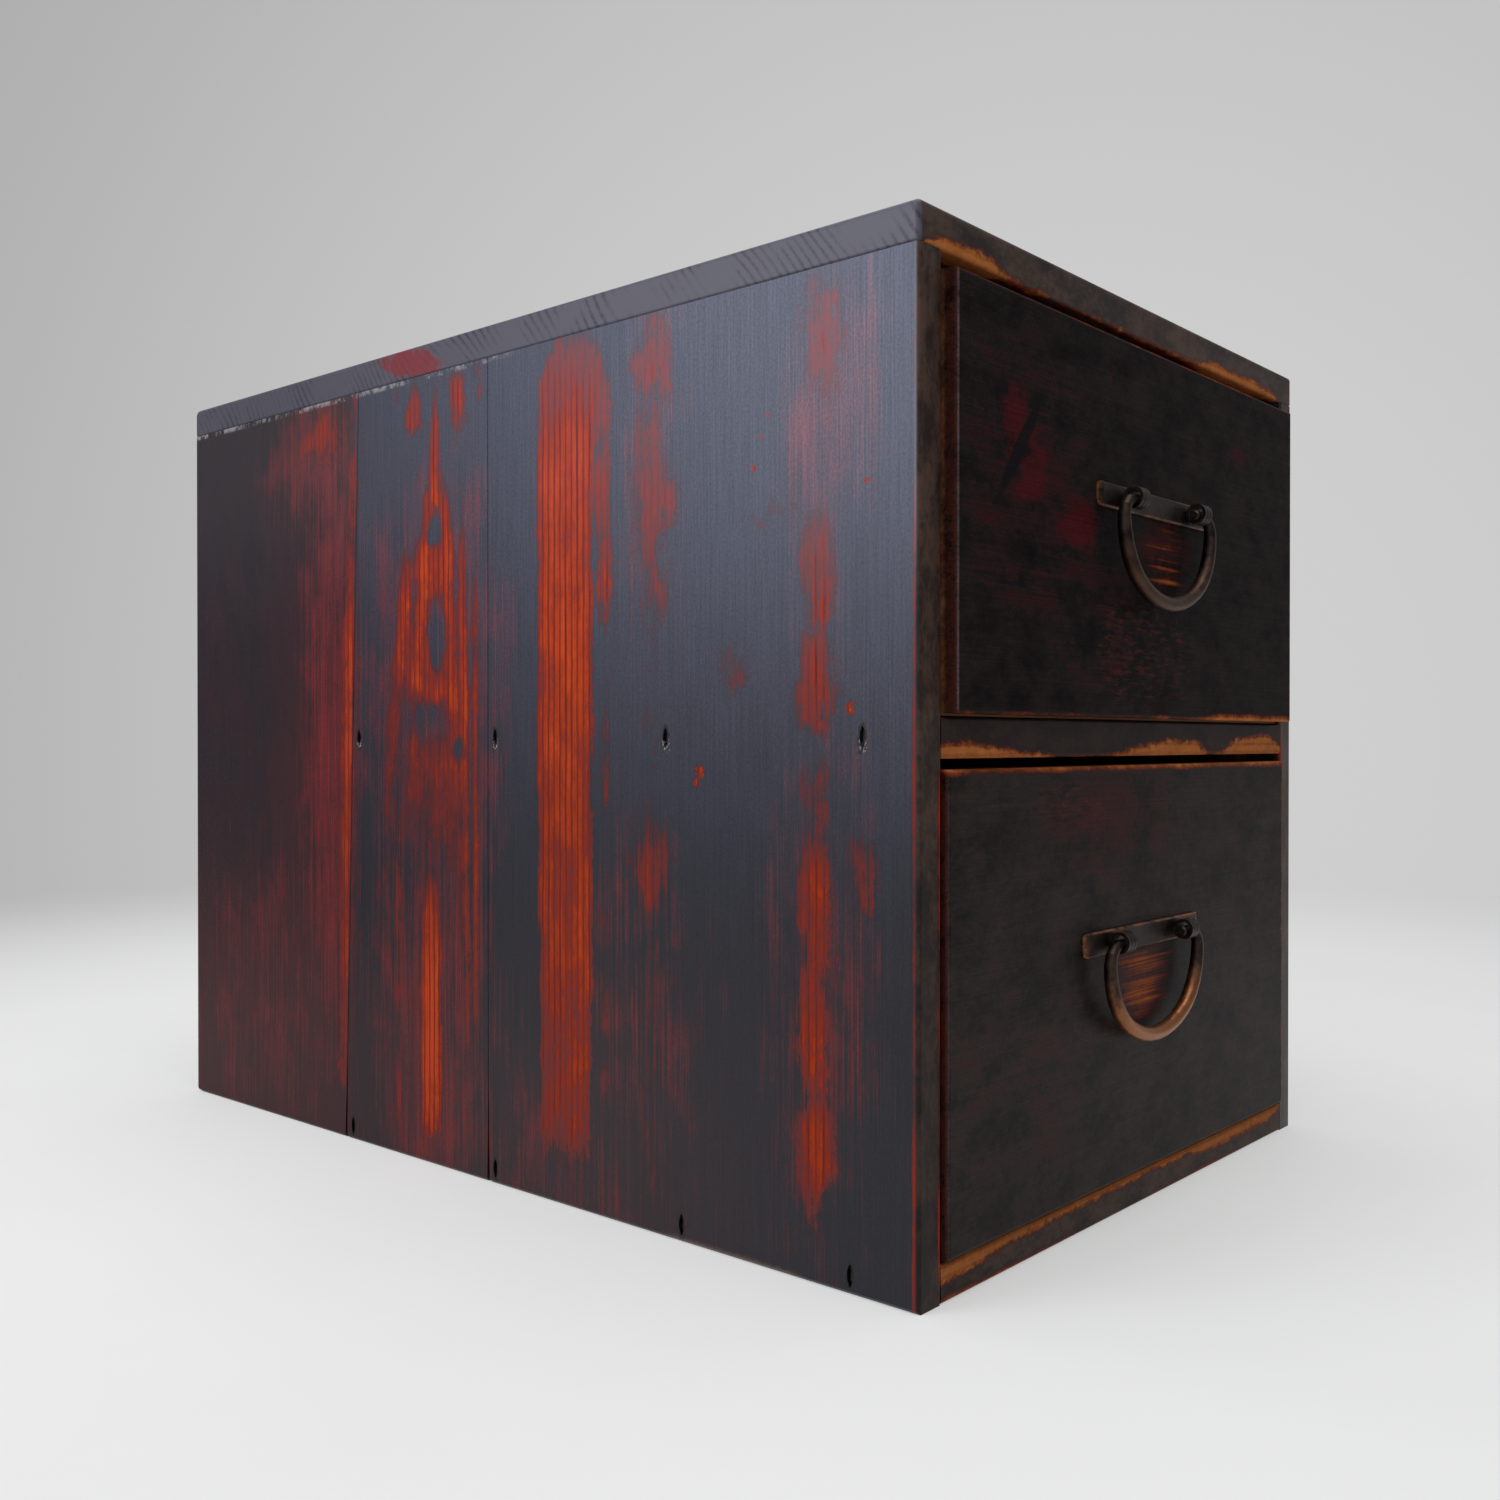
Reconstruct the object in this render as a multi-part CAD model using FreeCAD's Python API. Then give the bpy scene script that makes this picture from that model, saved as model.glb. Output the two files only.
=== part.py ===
# A small two-drawer cabinet of nailed softwood boards, with bail pulls on its drawer fronts.
# Sizes are in millimetres. +Z is up and the drawers face -Y. The origin is on the floor, under the
# middle of the case. The left of the case is at -X, as seen by someone who opens a drawer.
import FreeCAD
import Part

import math
import os

from FreeCAD import Rotation, Vector

# Case: overall sizes and board thicknesses
CASE_WIDTH = 304.0
CASE_DEPTH = 450.0
CASE_HEIGHT = 350.0
SIDE_THICK = 12.5
TOP_THICK = 13.5
BOTTOM_THICK = 12.5
SHELF_THICK = 13.5
SHELF_TOP_HEIGHT = 188.0
BACK_THICK = 8.0

# Case: how far the arrises are rubbed down, the foot of the sides is bevelled and its rear corner is worn
OUTER_ARRIS = 1.8
FRONT_ARRIS = 1.1
TOP_REAR_ARRIS = 3.0
FOOT_BEVEL = 1.2
FOOT_REAR_ROUND = 5.5

# Board seams, as distances from the front of the case. A side seam leans, so it has one distance
# at the floor and one under the top.
LEFT_SEAMS = ((212.5, 212.5), (314.5, 304.0))
RIGHT_SEAMS = ((148.0, 151.0), (297.0, 292.0))
TOP_SEAM = 236.0
SHELF_SEAM = 252.0
BOTTOM_SEAM = 228.0
SEAM_EASE = 0.4

# Old seams open at the foot of a side: the width of the gap at the floor and the height it closes at
SEAM_GAP_WIDTH = 1.6
SEAM_GAP_HEIGHT = 46.0

# Hand-made iron nails, driven below the surface. The punch leaves a pointed slit round each head.
NAIL_LENGTH = 38.0
NAIL_SHANK = 1.9
NAIL_TIP = 0.7
NAIL_HEAD_LENGTH = 4.8
NAIL_HEAD_WIDTH = 1.5
NAIL_HEAD_THICK = 1.4
NAIL_SUNK = 1.3
NAIL_CLEARANCE = 0.05
SLIT_PAST_HEAD_END = 1.6
SLIT_PAST_HEAD_SIDE = 0.5

# Nail places: distances from the front along a side, across the width of the back, and evenly
# spaced along both ends of the top
SHELF_NAILS = (22.0, 111.0, 208.0, 304.0)
BOTTOM_NAILS = (27.0, 103.0, 208.0, 309.0)
TOP_NAIL_COUNT = 5
TOP_NAIL_MARGIN = 30.0
TOP_REAR_NAILS = (-85.0, 0.0, 85.0)
BACK_UPPER_NAILS = (-100.0, 0.0, 100.0)
BACK_LOWER_NAILS = (-52.0, 52.0)
BACK_FOOT_NAILS = (-100.0, 0.0, 100.0)

# Drawers: boards and the room round them
FRONT_THICK = 16.0
LAP_DEPTH = 9.0
DRAWER_SIDE_THICK = 9.0
DRAWER_BACK_THICK = 9.0
DRAWER_BOTTOM_THICK = 7.0
DRAWER_SIDE_GAP = 1.0
DRAWER_RUN_GAP = 0.3
DRAWER_BACK_GAP = 0.5
DRAWER_INSET = 0.5
FRONT_LIFT = 1.0
UPPER_HEADROOM = 5.7
LOWER_HEADROOM = 3.5
SIDE_BELOW_FRONT = 2.0
BACK_BELOW_FRONT = 6.0
DRAWER_BOTTOM_SEAM = 205.0
DRAWER_ARRIS = 1.4
DRAWER_RIM_ARRIS = 1.2

# Old side boards have shrunk, so a closed drawer stands proud of the case, and the upper one is ajar
CLOSED_PROUD = 2.0
UPPER_AJAR = 3.4
LOWER_AJAR = 0.0

# Whittled wooden pegs in the drawer joints
PEG_RADIUS = 1.4
PEG_SIDES = 8
PEG_LENGTH = 24.0
PEG_CLEARANCE = 0.05
PEGS_PER_CORNER = 3
PEG_EDGE_MARGIN = 22.0
BOTTOM_PEG_LENGTH = 20.0
BOTTOM_PEGS_PER_SIDE = 5
BOTTOM_PEG_MARGIN = 38.0
BOTTOM_PEGS_AT_BACK = 3

# Bail pull: back plate, eye strips and the bail itself, whose steps are the straight lengths that each
# run and bend of its path is made of
UPPER_PULL_ABOVE_MIDDLE = 10.6
LOWER_PULL_ABOVE_MIDDLE = 13.2
UPPER_PULL_X = 0.0
LOWER_PULL_X = -3.6
PLATE_LENGTH = 96.0
PLATE_HEIGHT = 9.0
PLATE_THICK = 1.7
PLATE_BEVEL = 0.7
PLATE_CORNER = 2.2
PLATE_END_SLOPE = 3.4
PLATE_END_THICK = 0.5
EYE_SPACING = 54.0
EYE_STRIP_THICK = 1.2
EYE_STRIP_WIDTH = 6.6
EYE_PLAY = 0.9
EYE_SEAT_GAP = 0.1
EYE_REEDS = 3
EYE_GROOVE_WIDTH = 0.6
EYE_GROOVE_DEPTH = 0.4
LEG_SPLIT = 0.3
LEG_CLEARANCE = 0.15
LEG_TAIL = 11.0
BAIL_END_RADIUS = 2.0
BAIL_MIDDLE_RADIUS = 2.85
BAIL_FULL_AT = 0.55
BAIL_SHOULDER = 6.6
BAIL_CORNER = 28.0
BAIL_DROP = 36.9
BAIL_STUB_OUT = 0.2
BAIL_TIP_IN = 1.6
BAIL_SEAT_GAP = 0.15
BAIL_TIP_BEVEL = 0.6
BAIL_STEPS = (1, 3, 6, 4, 4, 6, 3, 1)

# Places that follow from the sizes above
FRONT_Y = -CASE_DEPTH / 2
REAR_Y = CASE_DEPTH / 2
LEFT_X = -CASE_WIDTH / 2
RIGHT_X = CASE_WIDTH / 2
INNER_LEFT_X = LEFT_X + SIDE_THICK
INNER_RIGHT_X = RIGHT_X - SIDE_THICK
SIDE_TOP = CASE_HEIGHT - TOP_THICK
SHELF_BOTTOM_HEIGHT = SHELF_TOP_HEIGHT - SHELF_THICK
SHELF_MIDDLE_HEIGHT = SHELF_TOP_HEIGHT - SHELF_THICK / 2
BACK_INNER_Y = REAR_Y - BACK_THICK
EYE_HOLE_RADIUS = BAIL_END_RADIUS + EYE_PLAY
EYE_OUTER_RADIUS = EYE_HOLE_RADIUS + EYE_STRIP_THICK
EYE_STANDOFF = PLATE_THICK + EYE_SEAT_GAP + EYE_OUTER_RADIUS
EYE_PLACES = {"left": -EYE_SPACING / 2, "right": EYE_SPACING / 2}

X_AXIS = Vector(1, 0, 0)
Y_AXIS = Vector(0, 1, 0)
Z_AXIS = Vector(0, 0, 1)
TOUCH = 1e-4
CUT_PAST = 1.0


# Small modelling helpers

def block(low, high):
    """A box between two corners."""
    size = Vector(*high) - Vector(*low)
    return Part.makeBox(size.x, size.y, size.z, Vector(*low))


def prism(points, direction):
    """A straight-sided solid: an outline of points pushed along a direction."""
    outline = Part.makePolygon([Vector(*p) for p in points] + [Vector(*points[0])])
    return Part.Face(outline).extrude(direction)


def edges_on(shape, **planes):
    """The edges that lie in every plane named, such as x=10.0 and z=0.0."""
    def lies_there(edge):
        return all(abs(getattr(v.Point, axis) - place) < TOUCH
                   for v in edge.Vertexes for axis, place in planes.items())
    return [edge for edge in shape.Edges if lies_there(edge)]


def rub_down(shape, radius, *edge_planes):
    """Rounds each edge that lies where the planes of one entry cross."""
    edges = [edge for planes in edge_planes for edge in edges_on(shape, **planes)]
    return shape.makeFillet(radius, edges)


def cut_by(shape, cutters):
    """Takes out of a shape every cutter that reaches it."""
    for cutter in cutters:
        if shape.BoundBox.intersect(cutter.BoundBox):
            shape = shape.cut(cutter)
    return shape


def one_solid(shape):
    """The single solid that a cut or fuse gives, without its leftover seams."""
    return shape.removeSplitter().Solids[0]


def from_front(distance):
    """The Y of a place that lies so far behind the front of the case."""
    return FRONT_Y + distance


def spread(low, high, count):
    """Evenly spaced places from low to high."""
    return [low + (high - low) * i / (count - 1) for i in range(count)]


# Nails and pegs

def nail_shank(clearance):
    """The square shank, tapered from under the head to the tip, or its hole when a clearance is given."""
    neck = NAIL_SUNK + NAIL_HEAD_THICK
    thick = NAIL_SHANK / 2 + clearance
    thin = NAIL_TIP / 2 + clearance
    shank = Part.makeWedge(-thick, neck, -thick, -thin, -thin,
                           thick, NAIL_LENGTH + clearance, thick, thin, thin)
    shank.rotate(Vector(), X_AXIS, 90)
    return shank


def nail():
    """One nail, driven along +Z from the wood's surface at Z = 0, its flat head lying along X."""
    half_length = NAIL_HEAD_LENGTH / 2
    half_width = NAIL_HEAD_WIDTH / 2
    head = block((-half_length, -half_width, NAIL_SUNK),
                 (half_length, half_width, NAIL_SUNK + NAIL_HEAD_THICK))
    return one_solid(head.fuse(nail_shank(0.0)))


def nail_hole():
    """The pointed slit and the tapered hole that one nail makes."""
    half_length = NAIL_HEAD_LENGTH / 2 + SLIT_PAST_HEAD_END
    half_width = NAIL_HEAD_WIDTH / 2 + SLIT_PAST_HEAD_SIDE
    left = Vector(-half_length, 0, -CUT_PAST)
    right = Vector(half_length, 0, -CUT_PAST)
    near = Part.Arc(left, Vector(0, -half_width, -CUT_PAST), right).toShape()
    far = Part.Arc(right, Vector(0, half_width, -CUT_PAST), left).toShape()
    floor = NAIL_SUNK + NAIL_HEAD_THICK
    slit = Part.Face(Part.Wire([near, far])).extrude(Vector(0, 0, floor + CUT_PAST))
    return slit.fuse(nail_shank(NAIL_CLEARANCE))


def driven(shape, place, into, along):
    """A nail or its hole, put at a place on the wood's surface."""
    turn = Rotation(along, into.cross(along), into, "ZXY")
    moved = shape.copy()
    moved.Placement = FreeCAD.Placement(Vector(*place), turn)
    return moved


def nail_places():
    """Every nail of the case by group: its place on the surface, its direction and the grain there."""
    shelf_z = SHELF_MIDDLE_HEIGHT
    bottom_z = BOTTOM_THICK / 2
    rows = [(d, shelf_z) for d in SHELF_NAILS] + [(d, bottom_z) for d in BOTTOM_NAILS]
    left = [((LEFT_X, from_front(d), z), X_AXIS, Z_AXIS) for d, z in rows]
    right = [((RIGHT_X, from_front(d), z), -X_AXIS, Z_AXIS) for d, z in rows]

    top = []
    end_places = spread(FRONT_Y + TOP_NAIL_MARGIN, REAR_Y - TOP_NAIL_MARGIN, TOP_NAIL_COUNT)
    for x in (LEFT_X + SIDE_THICK / 2, RIGHT_X - SIDE_THICK / 2):
        top += [((x, y, CASE_HEIGHT), -Z_AXIS, X_AXIS) for y in end_places]
    top += [((x, REAR_Y - BACK_THICK / 2, CASE_HEIGHT), -Z_AXIS, X_AXIS) for x in TOP_REAR_NAILS]

    quarter = SHELF_THICK / 4
    back = [((x, REAR_Y, shelf_z + quarter), -Y_AXIS, X_AXIS) for x in BACK_UPPER_NAILS]
    back += [((x, REAR_Y, shelf_z - quarter), -Y_AXIS, X_AXIS) for x in BACK_LOWER_NAILS]
    back += [((x, REAR_Y, bottom_z), -Y_AXIS, X_AXIS) for x in BACK_FOOT_NAILS]
    return {"left_side_nails": left, "right_side_nails": right, "top_nails": top, "back_nails": back}


def peg(place, direction, length, clearance=0.0):
    """A many-sided peg, or the hole for it when a clearance is given."""
    outline = Part.makePolygon([
        Rotation(Z_AXIS, degrees) * Vector(PEG_RADIUS + clearance, 0, 0)
        for degrees in spread(0, 360, PEG_SIDES + 1)])
    outline.Placement = FreeCAD.Placement(Vector(*place), Rotation(Z_AXIS, direction))
    return Part.Face(outline).extrude(direction * (length + clearance))


# Case boards

def seam_gap(seam, outer_x):
    """The wedge that has opened at the foot of a seam, right through the side."""
    at_floor = from_front(seam[0])
    lean = (seam[1] - seam[0]) * SEAM_GAP_HEIGHT / SIDE_TOP
    inner_x = outer_x + math.copysign(SIDE_THICK, -outer_x)
    outline = [(outer_x, at_floor - SEAM_GAP_WIDTH / 2, 0.0),
               (outer_x, at_floor + SEAM_GAP_WIDTH / 2, 0.0),
               (outer_x, at_floor + lean, SEAM_GAP_HEIGHT)]
    return prism(outline, Vector(inner_x - outer_x, 0, 0))


def seam_groove(seam, outer_x):
    """The V that is left along a seam where both arrises are eased."""
    inward = math.copysign(SEAM_EASE, -outer_x)
    at_floor = from_front(seam[0])
    outline = [(outer_x, at_floor - SEAM_EASE, 0.0), (outer_x, at_floor + SEAM_EASE, 0.0),
               (outer_x + inward, at_floor, 0.0)]
    return prism(outline, Vector(0, seam[1] - seam[0], SIDE_TOP))


def foot_wear(outer_x):
    """What has worn off the rear corner of a side's foot."""
    left, right = sorted((outer_x, outer_x + math.copysign(SIDE_THICK, -outer_x)))
    round_y = REAR_Y - FOOT_REAR_ROUND
    corner = block((left, round_y, -CUT_PAST), (right, REAR_Y + CUT_PAST, FOOT_REAR_ROUND))
    return corner.cut(Part.makeCylinder(FOOT_REAR_ROUND, right - left,
                                        Vector(left, round_y, FOOT_REAR_ROUND), X_AXIS))


def side_boards(name, outer_x, seams, nail_holes):
    """The three upright boards of one side, from the front to the rear."""
    inner_x = outer_x + math.copysign(SIDE_THICK, -outer_x)
    lines = ((0.0, 0.0),) + seams + ((CASE_DEPTH, CASE_DEPTH),)
    cutters = [cutter(seam, outer_x) for seam in seams for cutter in (seam_gap, seam_groove)]
    cutters.append(foot_wear(outer_x))
    boards = {}
    for board, (front, rear) in zip(("front", "middle", "rear"), zip(lines, lines[1:])):
        outline = [(outer_x, from_front(front[0]), 0.0), (outer_x, from_front(rear[0]), 0.0),
                   (outer_x, from_front(rear[1]), SIDE_TOP), (outer_x, from_front(front[1]), SIDE_TOP)]
        solid = prism(outline, Vector(inner_x - outer_x, 0, 0))
        solid = solid.makeChamfer(FOOT_BEVEL, edges_on(solid, x=outer_x, z=0.0))
        if board == "front":
            solid = rub_down(solid, OUTER_ARRIS, {"x": outer_x, "y": FRONT_Y})
            solid = rub_down(solid, FRONT_ARRIS, {"x": inner_x, "y": FRONT_Y})
        elif board == "rear":
            solid = rub_down(solid, OUTER_ARRIS, {"x": outer_x, "y": REAR_Y})
        boards[f"{name}_{board}_board"] = one_solid(cut_by(solid, cutters + nail_holes))
    return boards


def top_boards(nail_holes):
    """The two boards of the top, which lie across the sides and show their end grain there."""
    boards = {}
    spans = {"front": (FRONT_Y, from_front(TOP_SEAM)), "rear": (from_front(TOP_SEAM), REAR_Y)}
    for board, (near, far) in spans.items():
        solid = block((LEFT_X, near, SIDE_TOP), (RIGHT_X, far, CASE_HEIGHT))
        outer_y = near if board == "front" else far
        upper_arris = OUTER_ARRIS if board == "front" else TOP_REAR_ARRIS
        solid = rub_down(solid, upper_arris, {"y": outer_y, "z": CASE_HEIGHT})
        ends = [{"x": LEFT_X, "z": CASE_HEIGHT}, {"x": RIGHT_X, "z": CASE_HEIGHT}]
        corners = [{"x": LEFT_X, "y": outer_y}, {"x": RIGHT_X, "y": outer_y}]
        solid = rub_down(solid, OUTER_ARRIS, *ends, *corners)
        solid = rub_down(solid, FRONT_ARRIS, {"y": outer_y, "z": SIDE_TOP})
        boards[f"top_{board}_board"] = one_solid(cut_by(solid, nail_holes))
    return boards


def level_boards(name, low, high, seam, nail_holes):
    """A board between the sides, in two widths: the shelf between the drawers, or the bottom."""
    boards = {}
    spans = {"front": (FRONT_Y, from_front(seam)), "rear": (from_front(seam), BACK_INNER_Y)}
    for board, (near, far) in spans.items():
        solid = block((INNER_LEFT_X, near, low), (INNER_RIGHT_X, far, high))
        if board == "front":
            solid = rub_down(solid, FRONT_ARRIS, {"y": near, "z": high}, {"y": near, "z": low})
        boards[f"{name}_{board}_board"] = one_solid(cut_by(solid, nail_holes))
    return boards


def back_boards(nail_holes):
    """Two boards let in between the sides, which meet behind the shelf."""
    boards = {}
    spans = {"lower": (0.0, SHELF_MIDDLE_HEIGHT), "upper": (SHELF_MIDDLE_HEIGHT, SIDE_TOP)}
    for board, (low, high) in spans.items():
        solid = block((INNER_LEFT_X, BACK_INNER_Y, low), (INNER_RIGHT_X, REAR_Y, high))
        boards[f"back_{board}_board"] = one_solid(cut_by(solid, nail_holes))
    return boards


def case():
    """Every board and nail of the case."""
    places = nail_places()
    nodes = {}
    holes = []
    for group, group_places in places.items():
        nodes[group] = Part.makeCompound([driven(nail(), *place) for place in group_places])
        holes += [driven(nail_hole(), *place) for place in group_places]
    nodes.update(side_boards("left_side", LEFT_X, LEFT_SEAMS, holes))
    nodes.update(side_boards("right_side", RIGHT_X, RIGHT_SEAMS, holes))
    nodes.update(top_boards(holes))
    nodes.update(level_boards("shelf", SHELF_BOTTOM_HEIGHT, SHELF_TOP_HEIGHT, SHELF_SEAM, holes))
    nodes.update(level_boards("bottom", 0.0, BOTTOM_THICK, BOTTOM_SEAM, holes))
    nodes.update(back_boards(holes))
    return nodes


# Bail pull

def back_plate(x, face_y, z, leg_slots):
    """The plate on the drawer front: corners rounded, long edges bevelled and both ends hammered thin."""
    left = x - PLATE_LENGTH / 2
    right = x + PLATE_LENGTH / 2
    low = z - PLATE_HEIGHT / 2
    high = z + PLATE_HEIGHT / 2
    outer_y = face_y - PLATE_THICK
    end_y = face_y - PLATE_END_THICK
    slab = block((left, outer_y, low), (right, face_y, high))
    corners = [{"x": end, "z": edge} for end in (left, right) for edge in (low, high)]
    slab = rub_down(slab, PLATE_CORNER, *corners)
    profile = [(left, face_y, low), (left, end_y, low), (left + PLATE_END_SLOPE, outer_y, low),
               (right - PLATE_END_SLOPE, outer_y, low), (right, end_y, low), (right, face_y, low)]
    solid = one_solid(slab.common(prism(profile, Vector(0, 0, PLATE_HEIGHT))))
    long_edges = edges_on(solid, y=outer_y, z=low) + edges_on(solid, y=outer_y, z=high)
    return one_solid(cut_by(solid.makeChamfer(PLATE_BEVEL, long_edges), leg_slots))


def leg_slot(x, face_y, z):
    """The slot through the plate and the drawer front for the two legs of one eye strip."""
    half_width = EYE_STRIP_WIDTH / 2 + LEG_CLEARANCE
    half_height = LEG_SPLIT / 2 + EYE_STRIP_THICK + LEG_CLEARANCE
    return block((x - half_width, face_y - PLATE_THICK - CUT_PAST, z - half_height),
                 (x + half_width, face_y + FRONT_THICK + CUT_PAST, z + half_height))


def reeded_eye(centre):
    """The round of an eye strip, a band about X with V grooves between the reeds on its outside."""
    left = centre.x - EYE_STRIP_WIDTH / 2
    right = centre.x + EYE_STRIP_WIDTH / 2
    pitch = (EYE_STRIP_WIDTH + EYE_GROOVE_WIDTH) / EYE_REEDS
    groove = EYE_OUTER_RADIUS - EYE_GROOVE_DEPTH
    profile = [(left, EYE_HOLE_RADIUS)]
    for reed in range(EYE_REEDS):
        start = left + reed * pitch
        end = start + pitch - EYE_GROOVE_WIDTH
        profile += [(start, EYE_OUTER_RADIUS), (end, EYE_OUTER_RADIUS), (end + EYE_GROOVE_WIDTH / 2, groove)]
    profile[-1] = (right, EYE_HOLE_RADIUS)
    points = [Vector(x, centre.y, centre.z + radius) for x, radius in profile + profile[:1]]
    return Part.Face(Part.makePolygon(points)).revolve(centre, X_AXIS, 360)


def eye_strip(x, face_y, z):
    """A metal strip bent round into an eye. Its legs pass through the front and are clinched inside."""
    left = x - EYE_STRIP_WIDTH / 2
    right = x + EYE_STRIP_WIDTH / 2
    eye_y = face_y - EYE_STANDOFF
    inner_y = face_y + FRONT_THICK
    outer_y = inner_y + EYE_STRIP_THICK
    solid = reeded_eye(Vector(x, eye_y, z))
    for way in (1, -1):
        near_z = z + way * LEG_SPLIT / 2
        leg_low, leg_high = sorted((near_z, near_z + way * EYE_STRIP_THICK))
        tail_low, tail_high = sorted((near_z, near_z + way * LEG_TAIL))
        leg = block((left, eye_y, leg_low), (right, outer_y, leg_high))
        tail = block((left, inner_y, tail_low), (right, outer_y, tail_high))
        bent = rub_down(one_solid(leg.fuse(tail)), EYE_STRIP_THICK / 2, {"y": outer_y, "z": near_z})
        solid = solid.fuse(bent)
    hole = Part.makeCylinder(EYE_HOLE_RADIUS, EYE_STRIP_WIDTH, Vector(left, eye_y, z), X_AXIS)
    return one_solid(solid.cut(hole))


def bail_path(middle_x, y, z):
    """The bail's middle line: in through one eye, round below and out of the other eye."""
    stub_x = EYE_SPACING / 2 + EYE_STRIP_WIDTH / 2 + BAIL_STUB_OUT
    tip_x = EYE_SPACING / 2 - EYE_STRIP_WIDTH / 2 - BAIL_TIP_IN
    wide_x = stub_x + BAIL_SHOULDER
    corner_x = wide_x - BAIL_CORNER
    below_corner = BAIL_DROP - BAIL_SHOULDER
    sweep_radius = ((below_corner ** 2 - BAIL_CORNER ** 2 + corner_x ** 2)
                    / (2 * (below_corner - BAIL_CORNER)))
    sweep_z = sweep_radius - BAIL_DROP
    meet_angle = math.atan2(corner_x, sweep_z + BAIL_SHOULDER)
    half_angle = (math.pi / 2 + meet_angle) / 2

    def point(x, drop):
        return Vector(middle_x + x, y, z + drop)

    def on_corner(angle):
        """A point of the corner's arc, at an angle from straight down."""
        return (corner_x + BAIL_CORNER * math.sin(angle),
                -BAIL_SHOULDER - BAIL_CORNER * math.cos(angle))

    shoulder_mid = (stub_x + BAIL_SHOULDER * math.sin(math.pi / 4),
                    -BAIL_SHOULDER + BAIL_SHOULDER * math.cos(math.pi / 4))
    right = [(tip_x, 0.0), (stub_x, 0.0), shoulder_mid, (wide_x, -BAIL_SHOULDER),
             on_corner(half_angle), on_corner(meet_angle)]
    tip, stub, shoulder, wide, corner, meet = [point(*p) for p in right]
    lowest = point(0.0, -BAIL_DROP)
    tip_l, stub_l, shoulder_l, wide_l, corner_l, meet_l = [point(-x, drop) for x, drop in right]
    half_sweep = meet_angle / 2
    flank_x = sweep_radius * math.sin(half_sweep)
    flank_drop = sweep_z - sweep_radius * math.cos(half_sweep)
    edges = [Part.LineSegment(tip_l, stub_l), Part.Arc(stub_l, shoulder_l, wide_l),
             Part.Arc(wide_l, corner_l, meet_l), Part.Arc(meet_l, point(-flank_x, flank_drop), lowest),
             Part.Arc(lowest, point(flank_x, flank_drop), meet), Part.Arc(meet, corner, wide),
             Part.Arc(wide, shoulder, stub), Part.LineSegment(stub, tip)]
    return Part.Wire([edge.toShape() for edge in edges])


def rod_outline(edge, share_of_edge, swell):
    """The rod's round section at a share of one edge of its path; swell is 0 at an end, 1 in the middle."""
    parameter = edge.FirstParameter + (edge.LastParameter - edge.FirstParameter) * share_of_edge
    fullness = math.sin(min(1.0, swell / BAIL_FULL_AT) * math.pi / 2)
    radius = BAIL_END_RADIUS + (BAIL_MIDDLE_RADIUS - BAIL_END_RADIUS) * fullness
    circle = Part.Circle(edge.valueAt(parameter), edge.tangentAt(parameter), radius)
    return Part.Wire([circle.toShape()])


def bail(middle_x, face_y, z):
    """The bail: a round rod that swells from its two turned-in ends to the middle."""
    path = bail_path(middle_x, face_y - EYE_STANDOFF, z - EYE_PLAY + BAIL_SEAT_GAP)
    edges = path.OrderedEdges
    stub = edges[0].Length
    outlines = []
    travelled = 0.0
    for edge, steps in zip(edges, BAIL_STEPS):
        for share_of_edge in spread(0.0, 1.0, steps + 1)[:-1]:
            along = travelled + edge.Length * share_of_edge
            from_stub = max(0.0, min(along, path.Length - along) - stub)
            outlines.append(rod_outline(edge, share_of_edge, from_stub / (path.Length / 2 - stub)))
        travelled += edge.Length
    outlines.append(rod_outline(edges[-1], 1.0, 0.0))
    solid = Part.makeLoft(outlines, True, True)
    tips = [edge for end in (outlines[0], outlines[-1]) for edge in edges_on(solid, x=end.CenterOfMass.x)]
    return solid.makeChamfer(BAIL_TIP_BEVEL, tips).Solids[0]


def pull(name, x, face_y, z, slots):
    """Plate, eyes and bail of one drawer's pull."""
    nodes = {f"{name}_pull_plate": back_plate(x, face_y, z, slots)}
    for side, aside in EYE_PLACES.items():
        nodes[f"{name}_{side}_eye"] = eye_strip(x + aside, face_y, z)
    nodes[f"{name}_bail"] = bail(x, face_y, z)
    return nodes


# Drawers

class DrawerPlaces:
    """Where the boards of one drawer begin and end, in an opening between two heights."""

    left = INNER_LEFT_X + DRAWER_SIDE_GAP
    right = INNER_RIGHT_X - DRAWER_SIDE_GAP
    side_left = left + DRAWER_INSET
    side_right = right - DRAWER_INSET
    inner_left = side_left + DRAWER_SIDE_THICK
    inner_right = side_right - DRAWER_SIDE_THICK

    def __init__(self, floor, ceiling, headroom, ajar):
        self.face_y = FRONT_Y - CLOSED_PROUD - ajar
        self.front_inner_y = self.face_y + FRONT_THICK
        self.lap_y = self.front_inner_y - LAP_DEPTH
        self.end_y = BACK_INNER_Y - DRAWER_BACK_GAP - ajar
        self.back_y = self.end_y - DRAWER_BACK_THICK
        self.base = floor + DRAWER_RUN_GAP
        self.box_floor = self.base + DRAWER_BOTTOM_THICK
        self.front_low = floor + FRONT_LIFT
        self.front_high = ceiling - headroom
        self.side_high = self.front_high - SIDE_BELOW_FRONT
        self.back_high = self.front_high - BACK_BELOW_FRONT


def corner_pegs(at, clearance=0.0):
    """The pegs driven in from the sides at the four corners, or their holes."""
    pegs = []
    heights = spread(at.box_floor + PEG_EDGE_MARGIN, at.back_high - PEG_EDGE_MARGIN, PEGS_PER_CORNER)
    for x, inward in ((at.side_left, X_AXIS), (at.side_right, -X_AXIS)):
        for y in (at.lap_y + LAP_DEPTH / 2, at.back_y + DRAWER_BACK_THICK / 2):
            pegs += [peg((x, y, z), inward, PEG_LENGTH, clearance) for z in heights]
    return pegs


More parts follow.
